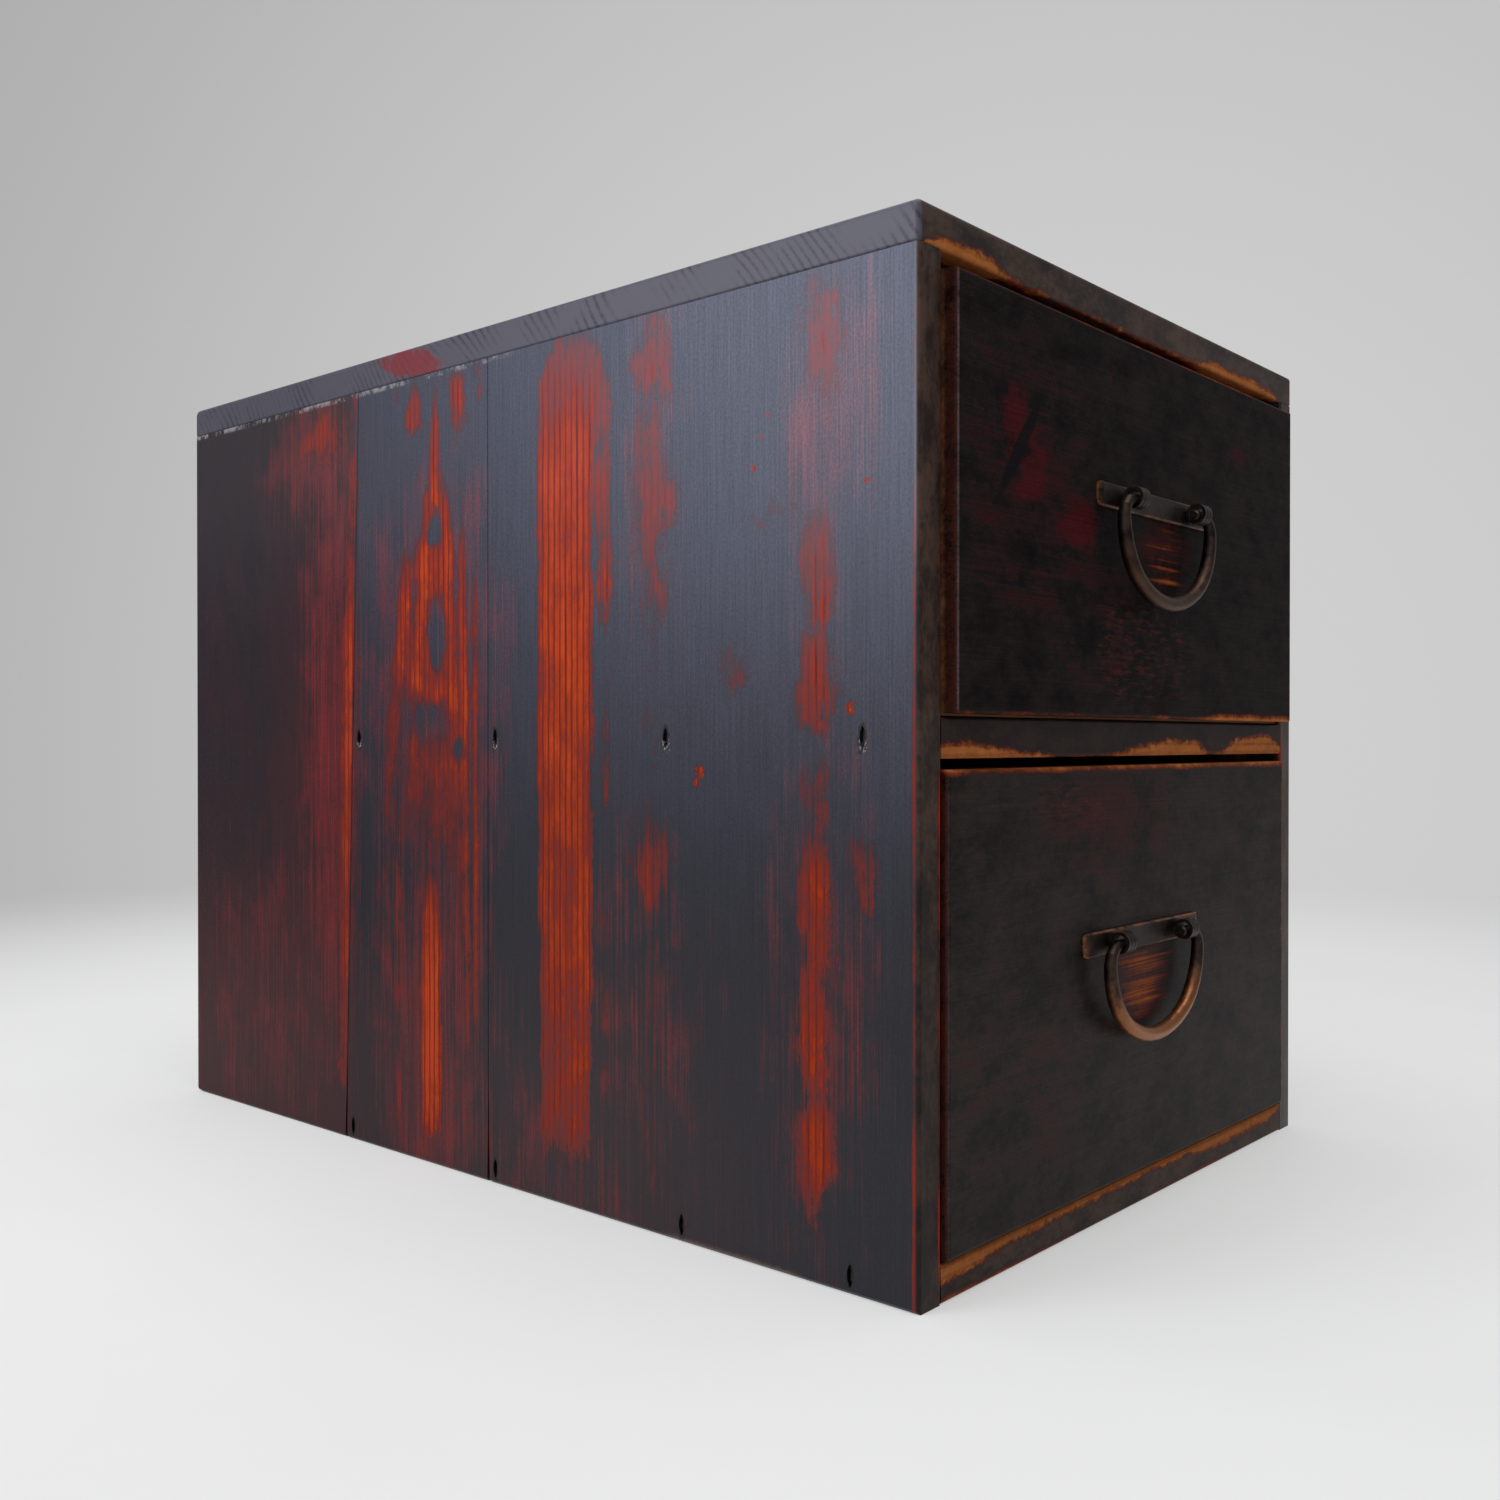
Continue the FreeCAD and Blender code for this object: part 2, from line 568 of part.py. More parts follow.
def bottom_pegs(at, clearance=0.0):
    """The pegs driven up through the bottom into the sides and the back, or their holes."""
    along = spread(at.lap_y + BOTTOM_PEG_MARGIN, at.back_y - BOTTOM_PEG_MARGIN, BOTTOM_PEGS_PER_SIDE)
    across = spread(at.inner_left + BOTTOM_PEG_MARGIN, at.inner_right - BOTTOM_PEG_MARGIN,
                    BOTTOM_PEGS_AT_BACK)
    places = [(at.side_left + DRAWER_SIDE_THICK / 2, y) for y in along]
    places += [(at.side_right - DRAWER_SIDE_THICK / 2, y) for y in along]
    places += [(x, at.back_y + DRAWER_BACK_THICK / 2) for x in across]
    return [peg((x, y, at.base), Z_AXIS, BOTTOM_PEG_LENGTH, clearance) for x, y in places]


def drawer_front(at, holes):
    """The front, rebated at both ends for the sides and along its lower edge for the bottom."""
    front = block((at.left, at.face_y, at.front_low), (at.right, at.front_inner_y, at.front_high))
    front = rub_down(front, DRAWER_ARRIS, {"y": at.face_y, "z": at.front_low},
                     {"y": at.face_y, "z": at.front_high}, {"y": at.face_y, "x": at.left},
                     {"y": at.face_y, "x": at.right})
    low = at.front_low - CUT_PAST
    high = at.front_high + CUT_PAST
    inner_y = at.front_inner_y + CUT_PAST
    laps = [block((at.left - CUT_PAST, at.lap_y, low), (at.inner_left, inner_y, high)),
            block((at.inner_right, at.lap_y, low), (at.right + CUT_PAST, inner_y, high)),
            block((at.left - CUT_PAST, at.lap_y, low), (at.right + CUT_PAST, inner_y, at.box_floor))]
    return one_solid(cut_by(front, laps + holes))


def drawer_side(at, x, holes):
    """One side, whose outer or inner face is at x, with both upper arrises rubbed down."""
    far_x = x + DRAWER_SIDE_THICK
    board = block((x, at.lap_y, at.box_floor), (far_x, at.end_y, at.side_high))
    board = rub_down(board, DRAWER_RIM_ARRIS, {"x": x, "z": at.side_high}, {"x": far_x, "z": at.side_high})
    return one_solid(cut_by(board, holes))


def drawer_back(at, holes):
    """The back, between the sides."""
    board = block((at.inner_left, at.back_y, at.box_floor), (at.inner_right, at.end_y, at.back_high))
    board = rub_down(board, DRAWER_RIM_ARRIS, {"y": at.back_y, "z": at.back_high},
                     {"y": at.end_y, "z": at.back_high})
    return one_solid(cut_by(board, holes))


def drawer_bottom(at, near, far, holes):
    """One of the two boards under the sides and the back."""
    board = block((at.side_left, near, at.base), (at.side_right, far, at.box_floor))
    return one_solid(cut_by(board, holes))


def drawer(name, at, pull_x, pull_above_middle):
    """Every node of one drawer."""
    pull_z = (at.front_low + at.front_high) / 2 + pull_above_middle
    slots = [leg_slot(pull_x + aside, at.face_y, pull_z) for aside in EYE_PLACES.values()]
    corner_holes = corner_pegs(at, PEG_CLEARANCE)
    bottom_holes = bottom_pegs(at, PEG_CLEARANCE)
    holes = corner_holes + bottom_holes
    seam_y = at.face_y + DRAWER_BOTTOM_SEAM
    nodes = {f"{name}_front": drawer_front(at, corner_holes + slots),
             f"{name}_left_side": drawer_side(at, at.side_left, holes),
             f"{name}_right_side": drawer_side(at, at.inner_right, holes),
             f"{name}_back": drawer_back(at, holes),
             f"{name}_bottom_front_board": drawer_bottom(at, at.lap_y, seam_y, bottom_holes),
             f"{name}_bottom_rear_board": drawer_bottom(at, seam_y, at.end_y, bottom_holes),
             f"{name}_corner_pegs": Part.makeCompound(corner_pegs(at)),
             f"{name}_bottom_pegs": Part.makeCompound(bottom_pegs(at))}
    nodes.update(pull(name, pull_x, at.face_y, pull_z, slots))
    return nodes


def cabinet():
    """Every node of the cabinet."""
    upper = DrawerPlaces(SHELF_TOP_HEIGHT, SIDE_TOP, UPPER_HEADROOM, UPPER_AJAR)
    lower = DrawerPlaces(BOTTOM_THICK, SHELF_BOTTOM_HEIGHT, LOWER_HEADROOM, LOWER_AJAR)
    nodes = case()
    nodes.update(drawer("upper_drawer", upper, UPPER_PULL_X, UPPER_PULL_ABOVE_MIDDLE))
    nodes.update(drawer("lower_drawer", lower, LOWER_PULL_X, LOWER_PULL_ABOVE_MIDDLE))
    return nodes


os.makedirs("parts", exist_ok=True)
for node, shape in cabinet().items():
    shape.exportStep(f"parts/{node}.step")
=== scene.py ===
import math

import bmesh
import bpy
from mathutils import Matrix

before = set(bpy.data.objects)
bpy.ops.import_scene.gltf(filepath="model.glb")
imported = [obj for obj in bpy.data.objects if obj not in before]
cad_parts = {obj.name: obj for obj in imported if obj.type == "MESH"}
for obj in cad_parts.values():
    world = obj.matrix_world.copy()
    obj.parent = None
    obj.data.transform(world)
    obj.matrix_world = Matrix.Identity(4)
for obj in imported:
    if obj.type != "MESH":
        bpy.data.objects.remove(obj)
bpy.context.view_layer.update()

# Sizes of the cabinet that the finishes follow, in millimetres
CASE_DEPTH = 450.0
CASE_HEIGHT = 350.0
SIDE_TOP = 336.5
OUTER_X = 152.0
INNER_X = 139.5
FRONT_Y = -225.0
RAIL_LOW = 174.5
RAIL_HIGH = 188.0
BOTTOM_HIGH = 12.5
SEAM_AT_FLOOR = 314.5
SEAM_AT_TOP = 304.0
DRAWERS = {
    "upper_drawer": {"face_y": -230.4, "low": 189.0, "high": 330.8, "pull_x": 0.0, "pull_z": 270.5},
    "lower_drawer": {"face_y": -227.0, "low": 13.5, "high": 171.0, "pull_x": -3.6, "pull_z": 105.45},
}
PLATE_HALF_LENGTH = 48.0
PLATE_HALF_HEIGHT = 4.5
PLATE_END_SLOPE = 3.4
SHELF_NAILS = (22.0, 111.0, 208.0, 304.0)
BOTTOM_NAILS = (27.0, 103.0, 208.0, 309.0)
SHELF_MIDDLE = (RAIL_LOW + RAIL_HIGH) / 2
BOTTOM_MIDDLE = BOTTOM_HIGH / 2
LATEWOOD_PITCH = 3.35
RING_PITCH = 4.4

# Where one finish gives way to the next, as a pair of places, in millimetres
SIDE_INNER_FACE = (141.4, 140.4)
SIDE_FRONT_EDGE = (1.5, 0.7)
SIDE_OUTER_ARRIS = (4.4, 1.8)
SIDE_INNER_ARRIS = (OUTER_X - 8.8, OUTER_X - 11.6)
BARE_BEHIND_FRONT = (-219.0, -205.0)
BACK_INNER_FACE = (217.6, 217.2)
DRAWER_FRONT_END = (137.4, 138.2)
DRAWER_RIGHT_ARRIS = (134.8, 136.8)
DRAWER_LEFT_ARRIS = (-136.8, -138.4)
DRAWER_GLINT_X = -137.8

# Camera, floor and light, in metres but for the fade and the backdrop's middle, which are in millimetres
CAMERA_PLACE = (-0.5295, -0.4859, 0.1801)
CAMERA_TURN = -48.746
CAMERA_PITCH = -0.340
CAMERA_LENS = 35.03
CAMERA_SENSOR = 36.0
CAMERA_CLIP = 0.01
FLOOR_RADIUS = 4.0
FLOOR_SEGMENTS = 96
FADE_NEAR = 150.0
FADE_FAR = 1350.0
FLOOR_GLOW = 0.45
BRIGHT_WAY = (0.87, 0.49, 0.0)
BACKDROP_MIDDLE = (-530.0, -486.0, 180.0)
WORLD_FILL = 0.4
LAMPS = {
    "overhead": {"place": (-0.2, -0.2, 2.6), "aim": (0.0, 0.0, 0.0), "size": (3.0, 3.0), "power": 74.0,
                 "colour": (1.0, 1.0, 1.0)},
    "window": {"place": (-2.3, 1.1, 1.15), "aim": (0.0, 0.0, 0.15), "size": (1.5, 1.3), "power": 36.0,
               "colour": (0.93, 0.96, 1.0)},
}
BACKDROP = [(0.0, 0.85), (0.22, 0.42), (0.5, 0.34), (0.72, 0.28), (0.88, 0.46), (0.99, 0.62)]


def srgb(red, green, blue):
    """A colour as it looks on screen, 0 to 255, as the linear colour that a socket takes."""
    def linear(value):
        share = value / 255.0
        return share / 12.92 if share <= 0.04045 else ((share + 0.055) / 1.055) ** 2.4
    return (linear(red), linear(green), linear(blue), 1.0)


# Colours of lacquer, worn lacquer, wood, metal and the floor, with some painted sheen and highlights among
# them
LACQUER = srgb(24, 23, 31)
# Slate bloom of the lacquer, with painted sheen in it
LACQUER_BLOOM_AND_SHEEN = srgb(75, 79, 100)
LACQUER_BROWN = srgb(27, 20, 19)
LACQUER_REAR = srgb(40, 20, 29)
LACQUER_REAR_BLACK = srgb(20, 18, 26)
LACQUER_REAR_RED = srgb(52, 17, 20)
LACQUER_LOW = srgb(46, 22, 25)
THIN_LACQUER = srgb(104, 22, 25)
# Red lacquer seen under bloom, with painted sheen in it
PINK_BLOOM_AND_SHEEN = srgb(144, 96, 110)
SIDE_FILM = [
    (0.1, srgb(60, 17, 21)), (0.3, srgb(90, 20, 21)), (0.55, srgb(120, 26, 18)), (0.8, srgb(146, 40, 15)),
    (1.0, srgb(171, 57, 17))]
FRONT_FILM = [
    (0.2, srgb(62, 20, 17)), (0.45, srgb(96, 38, 22)), (0.75, srgb(146, 76, 35)), (1.0, srgb(182, 110, 58))]
GRAIN_LINE = srgb(92, 22, 15)
EDGE_DARK = srgb(36, 28, 26)
EDGE_OLIVE = srgb(76, 58, 49)
FRONT_BLACK = srgb(11, 8, 9)
FRONT_RED = srgb(52, 15, 18)
FRONT_CRIMSON = srgb(74, 13, 19)
DULL_BROWN = srgb(92, 70, 58)
ROUGH_BROWN = srgb(68, 34, 29)
DRAWER_END = srgb(70, 34, 26)
# Painted highlight on a drawer's left arris
ARRIS_GLINT = srgb(112, 100, 106)
END_GRAIN = srgb(84, 82, 94)
END_GRAIN_LINE = srgb(50, 46, 55)
END_GRAIN_RED = srgb(120, 26, 36)
# Pale crust, also used for a painted highlight
PALE_CRUST_AND_HIGHLIGHT = srgb(150, 146, 150)
TORN_BLACK = srgb(12, 10, 12)
STROKE_BLACK = srgb(13, 13, 19)
FLOOR_WHITE = srgb(236, 236, 236)
FLOOR_SEEN = srgb(232, 232, 232)
OLD_WOOD = srgb(148, 108, 72)
OLD_WOOD_DARK = srgb(104, 70, 45)
BACK_DARK = srgb(58, 44, 36)
BACK_BROWN = srgb(92, 70, 54)
PEG_DARK = srgb(132, 96, 62)
PEG_PALE = srgb(176, 138, 94)
NAIL_RUST = [(0.3, srgb(26, 22, 22)), (0.55, srgb(52, 38, 32)), (0.75, srgb(96, 62, 42))]
BRONZE_DARK = srgb(29, 23, 22)
BRONZE = srgb(62, 49, 43)
BRONZE_RUBBED = srgb(166, 106, 66)

# How far noise is spread to run from about -1 to 1, bare wood's relief and shine, and the gloss of boards
NOISE_SPREAD = 3.0
WOOD_RELIEF = 0.3
WOOD_SPECULAR = 0.25
SIDE_GLOSS = 0.38
TOP_GLOSS = 0.25
EDGE_GLOSS = 0.12


class Wire:
    """A socket of a node. Arithmetic on wires adds the Math nodes that it needs."""

    def __init__(self, wiring, socket):
        self.wiring = wiring
        self.socket = socket

    def __add__(self, other):
        return self.wiring.math("ADD", self, other)

    def __radd__(self, other):
        return self.wiring.math("ADD", other, self)

    def __sub__(self, other):
        return self.wiring.math("SUBTRACT", self, other)

    def __rsub__(self, other):
        return self.wiring.math("SUBTRACT", other, self)

    def __mul__(self, other):
        return self.wiring.math("MULTIPLY", self, other)

    def __truediv__(self, other):
        return self.wiring.math("DIVIDE", self, other)

    def __pow__(self, other):
        return self.wiring.math("POWER", self, other)

    def __abs__(self):
        return self.wiring.math("ABSOLUTE", self)


class Wiring:
    """A tree of shader nodes while it is being put together."""

    def __init__(self, tree):
        self.tree = tree

    def node(self, kind, settings=None, values=None, output=0):
        """A new node: its settings first, then the values or wires of its sockets."""
        made = self.tree.nodes.new("ShaderNode" + kind)
        for name, setting in (settings or {}).items():
            if name == "stops":
                self.set_stops(made.color_ramp, setting)
            else:
                setattr(made, name, setting)
        for key, value in (values or {}).items():
            if isinstance(value, Wire):
                self.tree.links.new(value.socket, made.inputs[key])
            else:
                made.inputs[key].default_value = value
        return Wire(self, made.outputs[output])

    @staticmethod
    def set_stops(ramp, stops):
        """The stops of a colour ramp: a place from 0 to 1 and a colour or a level each."""
        while len(ramp.elements) < len(stops):
            ramp.elements.new(1.0)
        for element, (place, colour) in zip(ramp.elements, stops):
            element.position = place
            element.color = colour if isinstance(colour, tuple) else (colour, colour, colour, 1.0)

    def math(self, operation, *values):
        """One Math node."""
        return self.node("Math", {"operation": operation}, dict(enumerate(values)))

    def most(self, *wires):
        """The largest of several values."""
        result = wires[0]
        for wire in wires[1:]:
            result = self.math("MAXIMUM", result, wire)
        return result

    def step(self, value, low, high):
        """0 below low and 1 above high, with a soft change between; high may be the smaller."""
        return self.node("MapRange", {"interpolation_type": "SMOOTHSTEP"}, {0: value, 1: low, 2: high})

    def profile(self, value, span, heights):
        """A level that follows a list of (place in millimetres, level)."""
        low, high = span
        share = (value - low) * (1.0 / (high - low))
        stops = [((place - low) / (high - low), level) for place, level in heights]
        return self.node("ValToRGB", {"stops": stops}, {0: share})

    def ramp(self, value, stops):
        """A colour or a level that follows a value from 0 to 1."""
        return self.node("ValToRGB", {"stops": stops}, {0: value})

    def mix(self, share, first, second):
        """A colour between two colours."""
        return self.node("Mix", {"data_type": "RGBA"}, {0: share, 6: first, 7: second}, output=2)

    def shade(self, colour, level):
        """A colour made darker or lighter by a level."""
        settings = {"data_type": "RGBA", "blend_type": "MULTIPLY"}
        return self.node("Mix", settings, {0: 1.0, 6: colour, 7: level}, output=2)


class Finish(Wiring):
    """A material: its shader, and the place on the cabinet in millimetres."""

    def __init__(self, name):
        self.material = bpy.data.materials.new(name)
        self.material.use_nodes = True
        super().__init__(self.material.node_tree)
        self.shader = self.tree.nodes["Principled BSDF"]
        metres = self.node("TexCoord", output="Object")
        self.place = self.node("VectorMath", {"operation": "SCALE"}, {0: metres, "Scale": 1000.0})
        self.x, self.y, self.z = [self.node("SeparateXYZ", values={0: self.place}, output=axis)
                                  for axis in "XYZ"]

    def noise(self, sizes, detail=3.0, rough=0.55, shift=0.0):
        """Noise with features of about these sizes in millimetres along X, Y and Z."""
        scale = tuple(1.0 / size for size in sizes)
        point = self.node("VectorMath", {"operation": "MULTIPLY_ADD"},
                          {0: self.place, 1: scale, 2: (shift, shift * 1.7, shift * 0.6)})
        values = {"Vector": point, "Scale": 1.0, "Detail": detail, "Roughness": rough}
        return self.node("TexNoise", values=values)

    def uneven(self, sizes, detail, rough, shift):
        """Noise spread from about -1 to 1."""
        return (self.noise(sizes, detail, rough, shift) - 0.5) * NOISE_SPREAD

    def bump(self, height, strength, distance=0.0004):
        """Fine relief: a height from 0 to 1 over a distance in metres."""
        return self.node("Bump", values={"Height": height, "Strength": strength, "Distance": distance})

    def done(self, **sockets):
        """Sets or links the shader's own sockets, named as on the shader."""
        for name, value in sockets.items():
            socket = self.shader.inputs[name.replace("_", " ").title().replace("Ior", "IOR")]
            if isinstance(value, Wire):
                self.tree.links.new(value.socket, socket)
            else:
                socket.default_value = value
        return self.material


# Wear: a level that is 0 on sound lacquer, about 0.5 on thin red lacquer and 1 on wood rubbed bare

def streak(finish, across, height, centre, half_width, sides, lean, levels):
    """A streak along upright grain. Its level follows the height, and sides sets how square it is."""
    level = finish.profile(height, (0.0, CASE_HEIGHT), levels)
    middle = (height - LEAN_HEIGHT) * lean + centre if lean else centre
    return level - abs((across - middle) * (1.0 / half_width)) ** sides


def spot(across, height, place, half_sizes, level):
    """A rounded patch at a place, with half its width and height."""
    aside = (across - place[0]) * (1.0 / half_sizes[0])
    above = (height - place[1]) * (1.0 / half_sizes[1])
    return level - (aside * aside + above * above) * level


def spots(finish, across, height, places):
    """Several patches, each with its place, half sizes and level."""
    return finish.most(*[spot(across, height, *place) for place in places])


def worn_colour(finish, wear, lacquer, lines, film_stops, level):
    """From sound lacquer through a thin red film of it to bare wood with its darker grain lines."""
    film = finish.shade(finish.ramp(wear, film_stops), level)
    film = finish.mix(lines * finish.step(wear, 0.15, 0.6), film, GRAIN_LINE)
    return finish.mix(finish.step(wear, 0.0, 0.45), lacquer, film)


def darker_below(finish, wear):
    """How dark the worn wood of a side is: darker towards the bottom, but for the barest wood."""
    tone = finish.ramp(finish.z / CASE_HEIGHT, [(0.42, 0.68), (0.7, 1.0)])
    return tone + finish.step(wear, 1.05, 1.4) * 0.3


def old_wood(finish, sizes):
    """Bare aged softwood, its grain as long and as fine as the sizes say."""
    broad = finish.noise(sizes, 4.0, 0.6, 3.1)
    fine = finish.noise(tuple(size * 0.22 for size in sizes), 3.0, 0.6, 7.7)
    grain = finish.step(broad * 0.7 + fine * 0.3, 0.34, 0.66)
    return finish.mix(grain, OLD_WOOD_DARK, OLD_WOOD)


GRAIN_X = (90.0, 3.2, 3.2)
GRAIN_Y = (3.2, 90.0, 3.2)
GRAIN_Z = (3.2, 3.2, 90.0)


class Grain:
    """The uneven marks of one board, from about -1 to 1: fibres, bundles, sway, flecks, clouds and grit."""

    def __init__(self, finish, upright, shift):
        def marks(across, along, detail, rough, apart):
            sizes = (across, across, along) if upright else (along, across, across)
            return finish.uneven(sizes, detail, rough, shift + apart)
        self.fibre = marks(0.8, 50.0, 3.0, 0.65, 0.0)
        self.bundle = marks(2.0, 110.0, 3.0, 0.6, 1.0)
        self.sway = marks(9.0, 24.0, 4.0, 0.6, 5.0)
        self.fleck = marks(2.6, 3.8, 5.0, 0.75, 7.0)
        self.cloud = marks(13.0, 22.0, 7.0, 0.68, 9.0)
        self.grit = marks(0.9, 1.1, 2.0, 0.6, 11.0)
        self.breaks = self.cloud * 0.62 + self.fleck * 0.24 + self.bundle * 0.26 + self.fibre * 0.3


def edge_lacquer(finish, grain):
    """The mottled brown of the case's front edges."""
    mottled = finish.step(grain.cloud + grain.fleck * 0.5, -0.45, 0.5)
    return finish.mix(mottled, EDGE_DARK, EDGE_OLIVE)


def lacquered(finish, colour, wear, gloss, relief, inside, inside_colour, polish=1.0):
    """Joins worn lacquer and the bare inside of a board into its material."""
    sound = (1 - finish.step(wear, 0.4, 1.0)) * (1 - inside)
    return finish.done(base_color=finish.mix(inside, colour, inside_colour), roughness=0.66 - sound * 0.16,
                       specular_ior_level=0.02 + gloss * 0.2, coat_weight=sound * polish * gloss,
                       coat_roughness=0.34, normal=finish.bump(relief, WOOD_RELIEF))


# Worn streaks of the left side: distance from the front, half width, squareness, lean, wobble, and the level
# at some heights
LEFT_STREAKS = {
    "broad band": (165.7, 16.6, 8.0, 0.0, 1.6, [
        (6, 0.0), (24, 0.55), (60, 0.85), (110, 1.0), (150, 1.1), (295, 1.1), (314, 0.8), (328, 0.5),
        (337, 0.2)]),
    "spear": (248.0, 4.8, 2.0, 0.0, 0.8, [
        (277, 0.0), (284, 1.1), (300, 0.95), (315, 0.7), (326, 0.4), (332, 0.0)]),
    "flame, left leg": (261.0, 6.0, 2.0, -0.107, 1.6, [
        (110, 0.0), (172, 0.6), (200, 0.95), (258, 1.05), (272, 0.9), (282, 0.75), (290, 0.0)]),
    "flame, far left leg": (275.0, 8.0, 2.0, -0.145, 2.4, [
        (140, 0.0), (190, 0.6), (225, 0.8), (244, 0.75), (257, 0.45), (264, 0.0)]),
    "flame, right leg": (236.0, 5.6, 2.0, 0.065, 1.4, [
        (100, 0.0), (140, 0.5), (170, 0.8), (200, 0.95), (262, 1.0), (276, 0.85), (284, 0.6), (292, 0.0)]),
    "line right of the flame": (228.5, 4.0, 2.0, 0.02, 1.4, [
        (40, 0.0), (70, 0.55), (110, 0.75), (170, 0.95), (215, 1.0), (245, 0.8), (265, 0.5), (300, 0.0)]),
    "second line": (221.0, 3.2, 2.0, 0.0, 1.4, [
        (40, 0.0), (80, 0.5), (130, 0.7), (180, 0.8), (210, 0.7), (232, 0.4), (262, 0.2), (290, 0.0)]),
    "line left of the flame": (274.5, 4.4, 2.0, 0.0, 1.8, [
        (4, 0.0), (24, 0.6), (50, 0.5), (90, 0.35), (140, 0.4), (190, 0.5), (206, 0.3), (216, 0.0)]),
    "low streak": (251.0, 7.4, 3.0, 0.0, 2.4, [
        (2, 0.0), (14, 1.0), (40, 1.5), (80, 1.4), (105, 1.0), (118, 0.6), (128, 0.0)]),
    "beside the low streak": (264.5, 6.0, 2.0, 0.0, 2.4, [
        (4, 0.0), (22, 0.5), (48, 0.35), (92, 0.0)]),
    "patchy column": (118.0, 11.0, 2.0, 0.0, 4.0, [
        (20, 0.0), (60, 0.12), (100, 0.2), (118, 0.25), (150, 0.2), (165, 0.0), (205, 0.0), (225, 0.15),
        (240, 0.35), (258, 0.5), (272, 0.55), (290, 0.45), (302, 0.3), (318, 0.45), (334, 0.35), (337, 0.0)]),
    "branch of the band": (143.0, 6.0, 2.0, 0.0, 2.4, [
        (30, 0.0), (55, 0.25), (88, 0.25), (100, 0.05), (155, 0.05), (165, 0.4), (185, 0.4), (195, 0.05),
        (220, 0.2), (242, 0.7), (283, 0.6), (292, 0.35), (305, 0.65), (322, 0.0)]),
}
# Worn patches: place, half sizes and level
LEFT_PATCHES = [
    ((249, 254), (17, 17), 0.9), ((251, 212), (29, 36), 0.7), ((247, 203), (18, 9), 0.85),
    ((246, 160), (28, 34), 0.62), ((332, 321), (26, 12), 0.62), ((264, 324), (7, 11), 0.7),
    ((233, 322), (9, 15), 0.8), ((219, 329), (5, 8), 0.45), ((150, 312), (11, 22), 0.6),
    ((146, 268), (9, 24), 0.55), ((40, 322), (12, 20), 0.5), ((40, 304), (9, 15), 0.4),
    ((41, 241), (9, 18), 0.5), ((40, 229), (6, 13), 0.6), ((41, 204), (8, 15), 0.5),
    ((41, 193), (13, 12), 0.62), ((40, 160), (8, 17), 0.55), ((41, 124), (9, 32), 0.95),
    ((43, 84), (8, 34), 0.95), ((41, 42), (11, 27), 1.05), ((22, 138), (8, 13), 0.5),
    ((78, 208), (9, 11), 0.3), ((120, 134), (14, 22), 0.55), ((58, 258), (13, 3.0), 0.25),
    ((118, 318), (12, 18), 0.5), ((116, 268), (13, 26), 0.6),
]
# Sound lacquer left inside the flame and at the shoulder of the broad band
LEFT_EYES = [
    ((249, 269), (6, 7), 0.7), ((246, 223), (7, 14), 0.65), ((256, 190), (15, 9), 0.3),
    ((231, 175), (5, 5), 0.4), ((183, 335), (9, 17), 1.0),
]
# Thin red haze: place, half sizes and level
LEFT_HAZE = [
    ((40, 285), (20, 80), 0.75), ((22, 295), (14, 60), 0.55), ((326, 190), (33, 200), 0.85),
    ((340, 312), (56, 34), 0.85), ((250, 200), (62, 130), 0.9), ((250, 60), (58, 120), 0.8),
    ((120, 285), (24, 75), 0.6), ((126, 85), (44, 85), 0.5), ((190, 15), (110, 46), 0.4),
    ((40, 100), (28, 150), 0.5), ((385, 60), (80, 90), 0.5), ((222, 275), (16, 30), 0.7),
]
# Small chips, down to bare wood: place, half sizes and level
LEFT_CHIPS = [
    ((94, 169.5), (2.2, 3.2), 1.0), ((95.5, 165.5), (1.8, 2.0), 1.0), ((20, 264), (1.6, 1.0), 1.0),
    ((62, 291), (0.6, 1.6), 1.0), ((65, 284), (0.8, 1.6), 1.0), ((68.5, 273.5), (0.9, 2.0), 1.0),
    ((27, 191), (1.8, 2.6), 1.0),
]
# The height at which a leaning streak is at its own distance from the front
LEAN_HEIGHT = 200.0
# Half the size of the torn wood and of the splinters round a nail, and how far below it these are
TORN_HALF = (2.3, 6.0)
SPLINTER_HALF = (2.3, 3.2)
SPLINTERS_BELOW = 2.2
# Wear of the front arrises at some heights, and where the foot is rubbed, by distance from the front
LEFT_OUTER_WEAR = [(0, 1.0), (26, 1.0), (40, 0.85), (240, 0.8), (262, 0.4), (330, 0.2)]
LEFT_INNER_WEAR = [
    (8, 0.3), (18, 1.0), (32, 1.0), (42, 0.5), (110, 0.4), (125, 0.8), (168, 0.8), (180, 0.4)]
FOOT_RUB_MIDDLE = 80.0
FOOT_RUB_ENDS = (36.0, 24.0)


def left_seam_wear(finish, z):
    """The band that follows the front edge of the rear board, hard against the seam."""
    behind = finish.y - FRONT_Y - SEAM_AT_FLOOR - finish.z * ((SEAM_AT_TOP - SEAM_AT_FLOOR) / SIDE_TOP)
    level = finish.profile(z, (0.0, CASE_HEIGHT), [
        (8, 0.0), (30, 0.5), (70, 0.75), (150, 1.0), (230, 0.9), (262, 0.6), (300, 0.5), (336, 0.45)])
    return level * finish.step(behind, 0.2, 1.2) - abs((behind - 3.0) * (1.0 / 9.0)) ** 1.5


def left_eyes(finish, grain, back):
    """1 where sound lacquer is left among worn streaks."""
    eyes = spots(finish, back + grain.sway * 4.5, finish.z + grain.sway * 7.0, LEFT_EYES)
    return finish.step(eyes + grain.cloud * 0.5, -0.25, 0.75)


